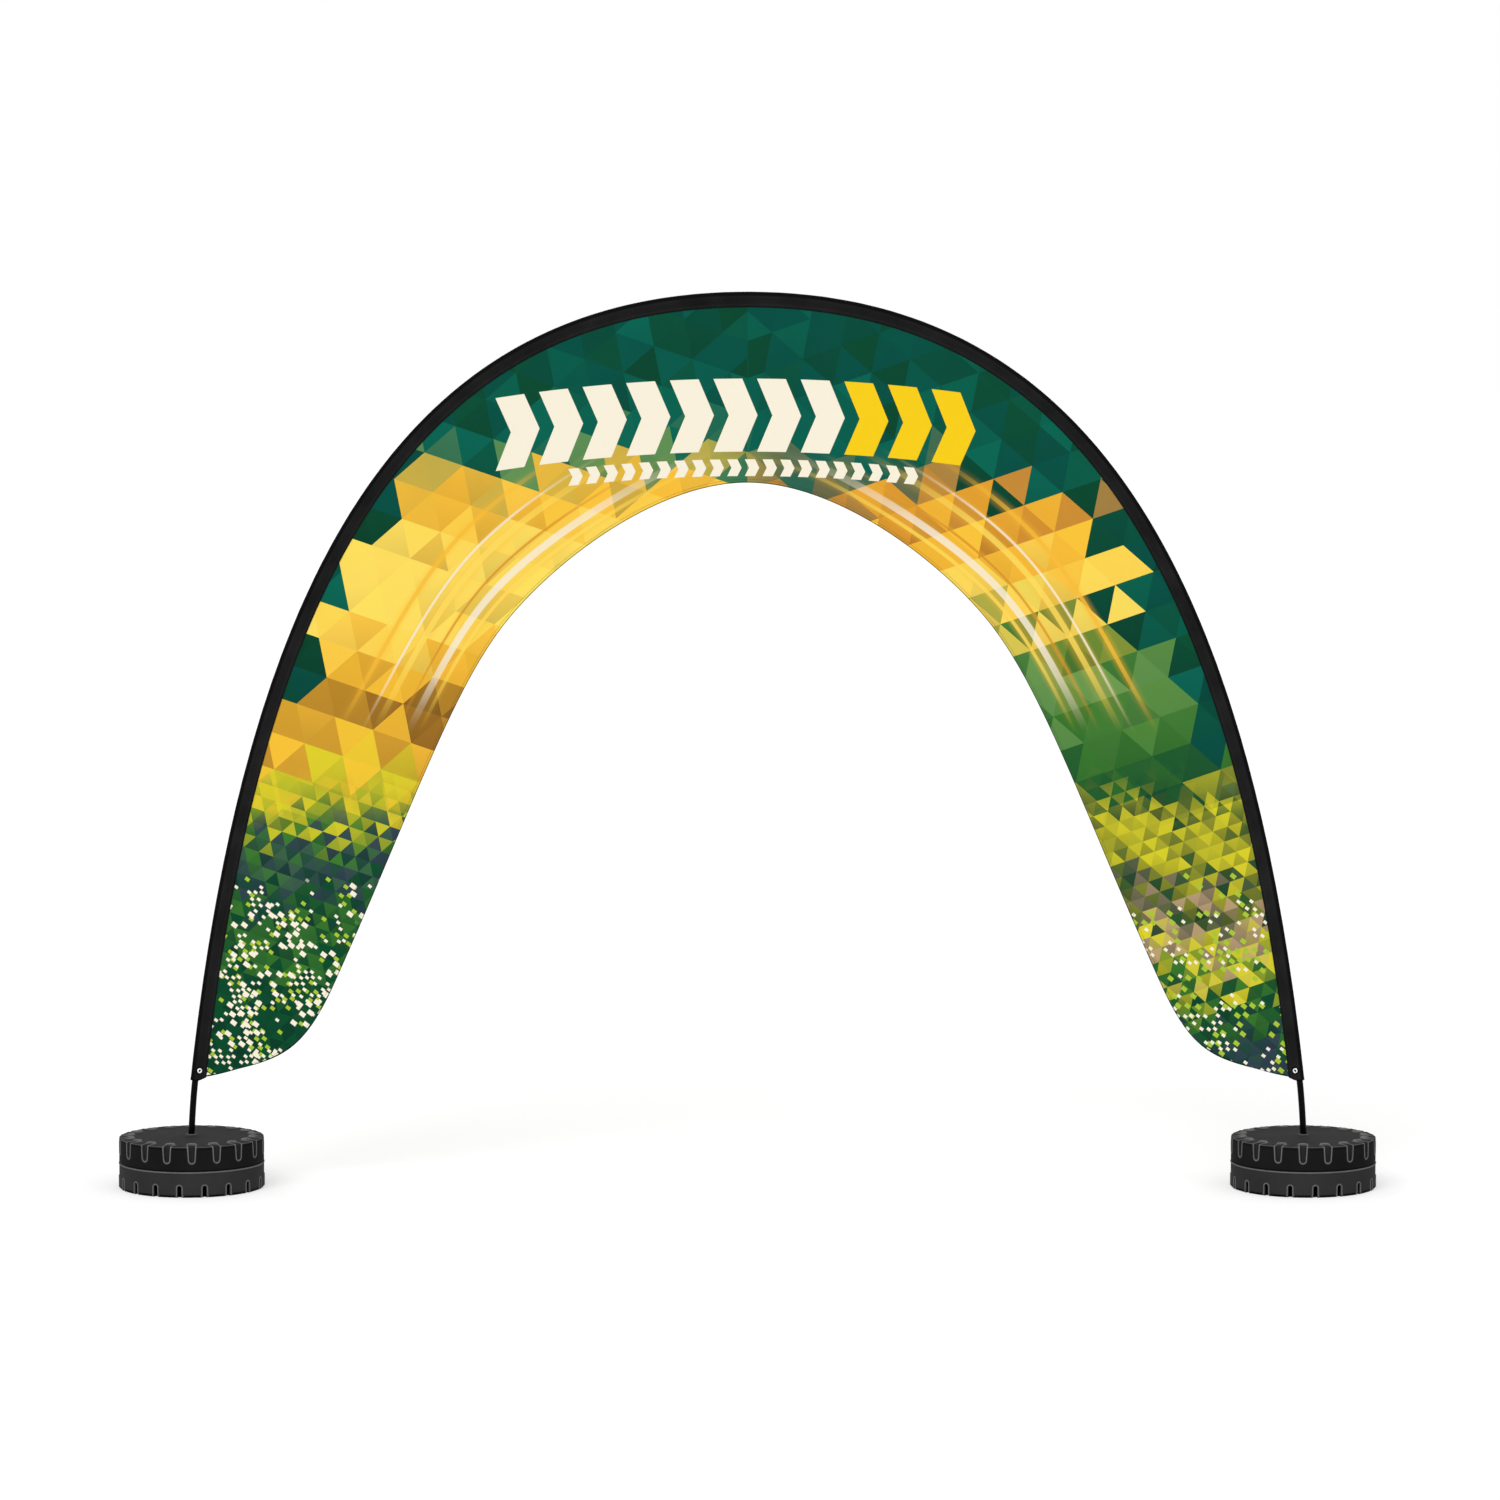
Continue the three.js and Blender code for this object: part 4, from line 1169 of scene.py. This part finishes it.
def build_eyelet(side, word, finish):
    """A rolled ring about its hole: a domed front rim, a barrel through the cloth and a flared back
    ring, turned on the normal of the layer that holds it."""
    middle, normal = eyelet_seat(side)
    bow = np.linspace(0, math.pi, 17)
    rim_mid, rim_half = (EYELET_RIM + EYELET_HOLE) / 2, (EYELET_RIM - EYELET_HOLE) / 2
    rim_high = EYELET_SEAT + (EYELET_TOP - EYELET_SEAT) * np.sin(bow)
    dome = np.column_stack([rim_mid + rim_half * np.cos(bow), rim_high])
    flare = np.linspace(0, math.pi, 9)
    back_mid, back_half = (EYELET_BACK + EYELET_HOLE) / 2, (EYELET_BACK - EYELET_HOLE) / 2
    back_low = EYELET_UNDER + (EYELET_LOW - EYELET_UNDER) * np.sin(flare)
    roll = np.column_stack([back_mid - back_half * np.cos(flare), back_low])
    barrel = [[EYELET_BARREL, EYELET_UNDER], [EYELET_BARREL, EYELET_SEAT - 0.15 * MM]]
    under_rim = [[EYELET_RIM - 0.8 * MM, EYELET_SEAT - 0.1 * MM]]
    profile = np.concatenate([dome, roll, barrel, under_rim])
    angle = np.linspace(0, 2 * math.pi, 56, endpoint=False)
    first = np.cross(normal, [0.0, 0.0, 1.0])
    first /= np.linalg.norm(first)
    second = np.cross(normal, first)
    spoke = np.cos(angle)[:, None] * first + np.sin(angle)[:, None] * second
    rings = middle + profile[:, 0, None, None] * spoke + profile[:, 1, None, None] * normal
    points, faces = round_piece(rings)
    eyelet = make_piece(f"eyelet_ring_{word}", points, faces, finish, crease=50)
    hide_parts(f"eyelet_{word}")


# ---- Bases ----

def sector_angles(half_steps):
    """Angles round a base: the steps of half a sector, in millimetres along the rim, mirrored and
    repeated in every sector. Gives each angle and its distance along the rim from the sector's middle."""
    half = math.pi * BASE_RADIUS / SECTORS
    steps = np.array(half_steps) * MM
    across = np.concatenate([-steps[:0:-1], steps, [half]])
    middles = np.arange(SECTORS) * 2 * math.pi / SECTORS
    return (middles[:, None] + across / BASE_RADIUS).ravel(), np.tile(across, SECTORS)


def base_points(side, radius, height, angle, front):
    """Points by radius, height and angle about a base's axis, the first angle at the front."""
    turn = front + angle
    x = side * BASE_HALF_SPAN + radius * np.cos(turn)
    return np.stack([x, radius * np.sin(turn), np.broadcast_to(height, x.shape)], axis=-1)


def socket_ring(side, height, angle, front):
    """A circle of the pole's socket, whose middle moves outwards as it goes down with the pole."""
    ring = base_points(side, np.full_like(angle, SOCKET_RADIUS), height, angle, front)
    ring[:, 0] += side * (COLLAR_TOP - height) * math.tan(POLE_LEAN)
    return ring


def notch_distance(across, up):
    """Distance from a notch's outline, negative inside. up is measured along the surface from the rim,
    negative down the side. The notch widens from its round lower end to the rim, and runs on over the
    top to a round end."""
    low_end = NOTCH_LOW - NOTCH_DROP
    top_end = NOTCH_REACH - NOTCH_TOP
    width = NOTCH_LOW + (NOTCH_TOP - NOTCH_LOW) * np.clip((up - low_end) / -low_end, 0, 1)
    straight = np.abs(across) - width
    straight = np.where(up < low_end, np.hypot(across, up - low_end) - NOTCH_LOW, straight)
    return np.where(up > top_end, np.hypot(across, up - top_end) - NOTCH_TOP, straight)


def upper_profile(up):
    """Radius, height and turn at a length up the outline of the upper half, 0 at the rim and negative
    down the side: straight, bevelled at the seam, then a quarter circle, then nearly level."""
    arc = RIM_CORNER * math.pi / 2
    turn = np.clip((up + arc / 2) / arc, 0, 1) * math.pi / 2
    inward = RIM_CORNER * (1 - np.cos(turn)) + np.maximum(up - arc / 2, 0)
    fall = RIM_CORNER * (1 - np.sin(turn)) - np.minimum(up + arc / 2, 0)
    rise = TOP_RISE * smooth((inward - 14 * MM) / (96 * MM))
    bevel = SEAM_BEVEL * smooth((1.8 * MM - UPPER_TALL - up) / (1.8 * MM))
    return BASE_RADIUS - inward - bevel, BASE_RIM - fall + rise, turn


# Rings inside the notched surface of the upper half, from its top to the collar and the mouth of the
# socket: radius, height, and the wear and painted highlight, and the dust and painted top light there.
COLLAR_ROWS = [
    (112 * MM, BASE_RIM + 1.2 * MM, 0.0, 1.0),
    (80 * MM, BASE_RIM + 1.8 * MM, 0.0, 1.0),
    (50 * MM, BASE_RIM + 2.6 * MM, 0.0, 1.0),
    (26 * MM, BASE_CROWN, 0.0, 0.9),
    (COLLAR_RADIUS + 1.6 * MM, BASE_CROWN, 0.1, 0.5),
    (COLLAR_RADIUS + 0.5 * MM, BASE_CROWN + 0.5 * MM, 0.2, 0.4),
    (COLLAR_RADIUS, BASE_CROWN + 1.8 * MM, 0.3, 0.5),
    (COLLAR_RADIUS - 0.4 * MM, COLLAR_TOP - 0.5 * MM, 0.5, 0.6),
    (COLLAR_RADIUS - 1.4 * MM, COLLAR_TOP, 0.5, 0.7),
    (SOCKET_RADIUS + 1.0 * MM, COLLAR_TOP, 0.3, 0.5),
]


def build_upper(side, word, finish):
    """Upper half of a base: a turned profile whose notches go radially into the side and straight down
    into the top, deeper towards their inner ends, with a bead along the profile's own normal round
    each notch, low at the rim and tall at the inner end, and a shallow dip in the rim between notches."""
    angle, across = sector_angles([
        0, 3, 5, 6.2, 7.2, 8, 8.8, 9.6, 10.4, 11.2, 12, 12.8, 13.6, 14.6, 15.8, 17.5, 21, 26, 31, 36,
    ])
    front = -math.pi / 2 - side * BASE_TURN
    up = np.concatenate([
        spaced((0.1 * MM - UPPER_TALL, 1.6 * MM - UPPER_TALL, 3), (1.6 * MM - UPPER_TALL, -54 * MM, 4)),
        spaced((-52 * MM, -36 * MM, 11), (-36 * MM, -6 * MM, 7), (-6 * MM, 6 * MM, 9)),
        spaced((7.5 * MM, 22 * MM, 4), (22 * MM, 50 * MM, 20), (54 * MM, 88 * MM, 3)),
    ])[:, None]
    radius, height, turn = upper_profile(up)

    distance = notch_distance(across * radius / BASE_RADIUS, up)
    inside = smooth(-distance / NOTCH_WALL)
    inner_end = smooth((up - 14 * MM) / (20 * MM))
    tall = NOTCH_BEAD + (NOTCH_BEAD_RIM - NOTCH_BEAD) * bump(up, 8 * MM)
    tall = tall + (NOTCH_BEAD_INNER - NOTCH_BEAD) * inner_end
    ridge = (1.8 + 1.2 * inner_end) * MM
    bead = tall * bump(distance - ridge, (1.6 + 1.2 * inner_end) * MM)
    midway = math.pi * BASE_RADIUS / SECTORS
    dip = RIM_DIP * bump(midway - np.abs(across), 7 * MM) * bump(up - 1 * MM, 5 * MM)
    sink = NOTCH_SINK + (NOTCH_INNER_SINK - NOTCH_SINK) * smooth(up / NOTCH_REACH)
    radial = (bead - dip) * np.cos(turn) - NOTCH_DEPTH * inside * (1 - smooth(up / (22 * MM)))
    rise = (bead - dip) * np.sin(turn) - sink * inside * smooth((up + 7 * MM) / (10 * MM))
    outer = base_points(side, radius + radial, height + rise, angle, front)

    # Pale wear and painted highlight on beads and the rim's edge, dust and painted top light on level faces
    # and in the notches down the side, and painted shade in the notches' inner ends, under the rim and
    # beside the seam.
    open_rim = smooth((distance - 1 * MM) / (2 * MM))
    wear_and_highlight = bump(distance - ridge, (1.8 + 1.8 * inner_end) * MM)
    wear_and_highlight = wear_and_highlight * (1 - 0.3 * bump(up - 14 * MM, 9 * MM)) + 0.5 * bump(up - 0.5 * MM, 1.8 * MM) * open_rim
    dust_and_top_light = smooth((up - 1 * MM) / (4 * MM)) + 0.85 * inside * (up < 1 * MM)
    shade = 0.8 * inside * inner_end + 0.7 * bump(up + 4.5 * MM, 2.4 * MM) * open_rim
    shade = shade + 0.8 * smooth((5 * MM - UPPER_TALL - up) / (4 * MM))

    ring = np.ones_like(angle)
    inner = [base_points(side, ring * row[0], row[1], angle, front) for row in COLLAR_ROWS]
    bore = [socket_ring(side, z, angle, front) for z in (COLLAR_TOP - 0.8 * MM, BASE_SEAM)]
    under = [base_points(side, ring * 0.75 * BASE_RADIUS, BASE_SEAM, angle, front)]
    points, faces = round_piece(np.concatenate([outer, inner, bore, under]))
    plain = [0.0] * len(bore + under)
    fields = {
        "wear_and_highlight": np.vstack([wear_and_highlight, np.outer([row[2] for row in COLLAR_ROWS] + plain, ring)]),
        "dust_and_top_light": np.vstack([dust_and_top_light, np.outer([row[3] for row in COLLAR_ROWS] + plain, ring)]),
        "shade": np.vstack([shade, np.outer([0.0] * len(COLLAR_ROWS) + plain, ring)]),
    }
    upper = make_piece(f"base_{word}_tread", points, faces, finish, fields, crease=180)
    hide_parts(f"base_{word}_upper")


def build_lower(side, word, finish):
    """Lower half of a base: a turned profile with a rolled lip at its top edge, and deep narrow slots
    that open at the ground, each under a raised arched bead that flares a little at its foot."""
    angle, across = sector_angles([
        0, 2.5, 4.4, 5.1, 5.5, 5.9, 6.3, 6.7, 7.3, 8, 8.8, 9.6, 10.6, 12, 15, 20, 26, 33,
    ])
    front = -math.pi / 2 - side * BASE_TURN + math.pi / SECTORS
    up = np.concatenate([
        spaced((0, FOOT_CORNER, 4), (FOOT_CORNER, 24 * MM, 4), (24 * MM, 44 * MM, 18)),
        spaced((46 * MM, BASE_SPLIT - 11 * MM, 4), (BASE_SPLIT - 10 * MM, BASE_SPLIT, 14)),
    ])[:, None]
    below = np.clip((FOOT_CORNER - up) / FOOT_CORNER, 0, 1)
    below_top = BASE_SPLIT - up
    lip = SEAM_LIP * bump(below_top - 3.4 * MM, 2.4 * MM)
    rounding = np.clip(1 - below_top / SEAM_CORNER, 0, 1)
    radius = BASE_RADIUS + lip - SEAM_CORNER * (1 - np.sqrt(1 - rounding ** 2))
    radius = radius - FOOT_INSET * (1 - np.sqrt(1 - below ** 2 * 0.999))

    arch = SLOT_HEIGHT - SLOT_HALF
    flare = SLOT_FLARE * smooth((12 * MM - up) / (12 * MM))
    distance = np.where(up > arch, np.hypot(across, up - arch), np.abs(across)) - SLOT_HALF - flare
    inside = smooth(-distance / SLOT_WALL)
    bead = SLOT_BEAD * bump(distance - 2.0 * MM, 1.6 * MM)
    radius = radius + (BASE_RADIUS - SLOT_DEPTH - radius) * inside + bead
    outer = base_points(side, radius, up, angle, front)

    # Pale wear and painted highlight on beads and lip, and painted shade in the slots and at the ground.
    dark = np.minimum(3 * inside, 1)
    wear_and_highlight = 0.9 * bump(distance - 2.0 * MM, 1.9 * MM) * smooth((up - 1 * MM) / (3 * MM)) * (1 - dark)
    wear_and_highlight = wear_and_highlight + 0.8 * bump(below_top - 3.0 * MM, 2.0 * MM)
    shade = dark + smooth((9 * MM - up) / (4 * MM)) * smooth((distance - 4 * MM) / (2 * MM))

    floor_z = COLLAR_TOP - SOCKET_DEPTH - 1 * MM
    ring = np.ones_like(angle)
    sole = [base_points(side, ring * r * MM, 0.0, angle, front) for r in (20, 100, 180, 200)]
    top = [base_points(side, ring * r * MM, BASE_SPLIT, angle, front) for r in (200, 120, 40)]
    bore = [socket_ring(side, z, angle, front) for z in (BASE_SPLIT, floor_z)]
    rings = np.concatenate([sole, outer, top, bore])
    axis = side * BASE_HALF_SPAN
    floor_x = axis + side * (COLLAR_TOP - floor_z) * math.tan(POLE_LEAN)
    points, faces = round_piece(rings, np.array([axis, 0, 0]), np.array([floor_x, 0, floor_z]))
    shown = slice(len(sole) * len(angle), (len(sole) + len(up)) * len(angle))
    fields = {name: np.zeros(len(points)) for name in ("wear_and_highlight", "dust_and_top_light", "shade")}
    fields["wear_and_highlight"][shown] = wear_and_highlight.ravel()
    fields["shade"][shown] = shade.ravel()
    lower = make_piece(f"base_{word}_foot", points, faces, finish, fields, crease=180)
    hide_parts(f"base_{word}_lower")


# ---- Stage: floor, backdrop, light and camera ----

FLOOR_REACH = 60.0
FLOOR_TINT = 0.70
FLOOR_LIFT = 0.40              # added where the floor is seen, so that it reads as white
SKY_LIGHT = 0.7

# Lamps. power, and in degrees: above the ground, aside from the front (+ right), and spread.
LAMPS = [
    dict(name="key", power=1.04, above=38, aside=-25, spread=36),
    dict(name="fill", power=0.36, above=25, aside=40, spread=60),
]

CAMERA_PLACE = (8.0 * MM, -20.0, 3.293)
CAMERA_DIP = math.radians(5.5)
CAMERA_LENS = 155.57           # millimetres, on a sensor 36 mm wide


def seen_rays(tree):
    """1 on rays that come from the camera, a reflection or clear material, and 0 on all others."""
    rays = tree.nodes.new("ShaderNodeLightPath")
    seen = rays.outputs["Is Camera Ray"]
    for kind in ("Is Glossy Ray", "Is Transmission Ray"):
        larger = tree.nodes.new("ShaderNodeMath")
        larger.operation = "MAXIMUM"
        tree.links.new(seen, larger.inputs[0])
        tree.links.new(rays.outputs[kind], larger.inputs[1])
        seen = larger.outputs[0]
    return seen


def seen_strength(tree, plain, seen):
    """A strength that is plain on rays that only carry light, and another where it is seen."""
    strength = tree.nodes.new("ShaderNodeMapRange")
    strength.inputs["To Min"].default_value = plain
    strength.inputs["To Max"].default_value = seen
    tree.links.new(seen_rays(tree), strength.inputs["Value"])
    return strength.outputs[0]


def build_stage():
    """A wide pale floor whose own colour is lifted to white where it is seen, so that only the soft
    shadows of the flag show on it."""
    mesh = bpy.data.meshes.new("floor")
    corners = [(x * FLOOR_REACH, y * FLOOR_REACH, 0) for x, y in ((-1, -1), (1, -1), (1, 1), (-1, 1))]
    mesh.from_pydata(corners, [], [(0, 1, 2, 3)])
    floor = bpy.data.objects.new("floor", mesh)
    bpy.context.scene.collection.objects.link(floor)
    material = bpy.data.materials.new("pale_floor")
    material.use_nodes = True
    tree = material.node_tree
    shader = tree.nodes["Principled BSDF"]
    shader.inputs["Base Color"].default_value = (FLOOR_TINT, FLOOR_TINT, FLOOR_TINT, 1)
    shader.inputs["Roughness"].default_value = 1.0
    shader.inputs["Specular IOR Level"].default_value = 0.0
    shader.inputs["Emission Color"].default_value = (1, 1, 1, 1)
    tree.links.new(seen_strength(tree, 0.0, FLOOR_LIFT), shader.inputs["Emission Strength"])
    mesh.materials.append(material)


def light_scene():
    """An even pale sky that reads as white where it is seen, a broad key light from the front left and
    above, and a weaker, broader fill from the front right."""
    world = bpy.data.worlds.new("studio")
    bpy.context.scene.world = world
    world.use_nodes = True
    tree = world.node_tree
    background = tree.nodes["Background"]
    background.inputs["Color"].default_value = (1, 1, 1, 1)
    tree.links.new(seen_strength(tree, SKY_LIGHT, 1.0), background.inputs["Strength"])
    for row in LAMPS:
        lamp = bpy.data.lights.new(row["name"], "SUN")
        lamp.energy = row["power"]
        lamp.angle = math.radians(row["spread"])
        holder = bpy.data.objects.new(row["name"], lamp)
        holder.rotation_euler = (math.radians(90 - row["above"]), 0, math.radians(row["aside"]))
        bpy.context.scene.collection.objects.link(holder)


def place_camera():
    """A distant camera in front of the gateway, just right of its middle, looking down a little."""
    camera = bpy.data.cameras.new("camera")
    camera.sensor_width = 36
    camera.lens = CAMERA_LENS
    camera.clip_end = 200
    holder = bpy.data.objects.new("camera", camera)
    holder.location = CAMERA_PLACE
    holder.rotation_euler = (math.pi / 2 - CAMERA_DIP, 0, 0)
    bpy.context.scene.collection.objects.link(holder)
    bpy.context.scene.camera = holder


# ---- Assembly ----

place_camera()
build_stage()
light_scene()
bpy.context.scene.view_settings.view_transform = "Standard"

panel = build_panel()
sleeve = build_sleeve()
pole = build_pole()
sleeve_sewing = sew_sleeve(thread_finish("thread_black", 22, 22, 23))
hem_sewing = sew_hem(thread_finish("thread_green", 30, 62, 46))
nickel = eyelet_finish()
# the lighter top tints are dust and painted top light
tread = base_finish("base_black", side_tints=(21, 29), top_dust_and_light_tints=(40, 51))
foot_shell = base_finish("base_charcoal", side_tints=(46, 55), top_dust_and_light_tints=(46, 55))
for word, side in (("left", -1), ("right", 1)):
    build_eyelet(side, word, nickel)
    build_upper(side, word, tread)
    build_lower(side, word, foot_shell)

2 * STRIP_HALF
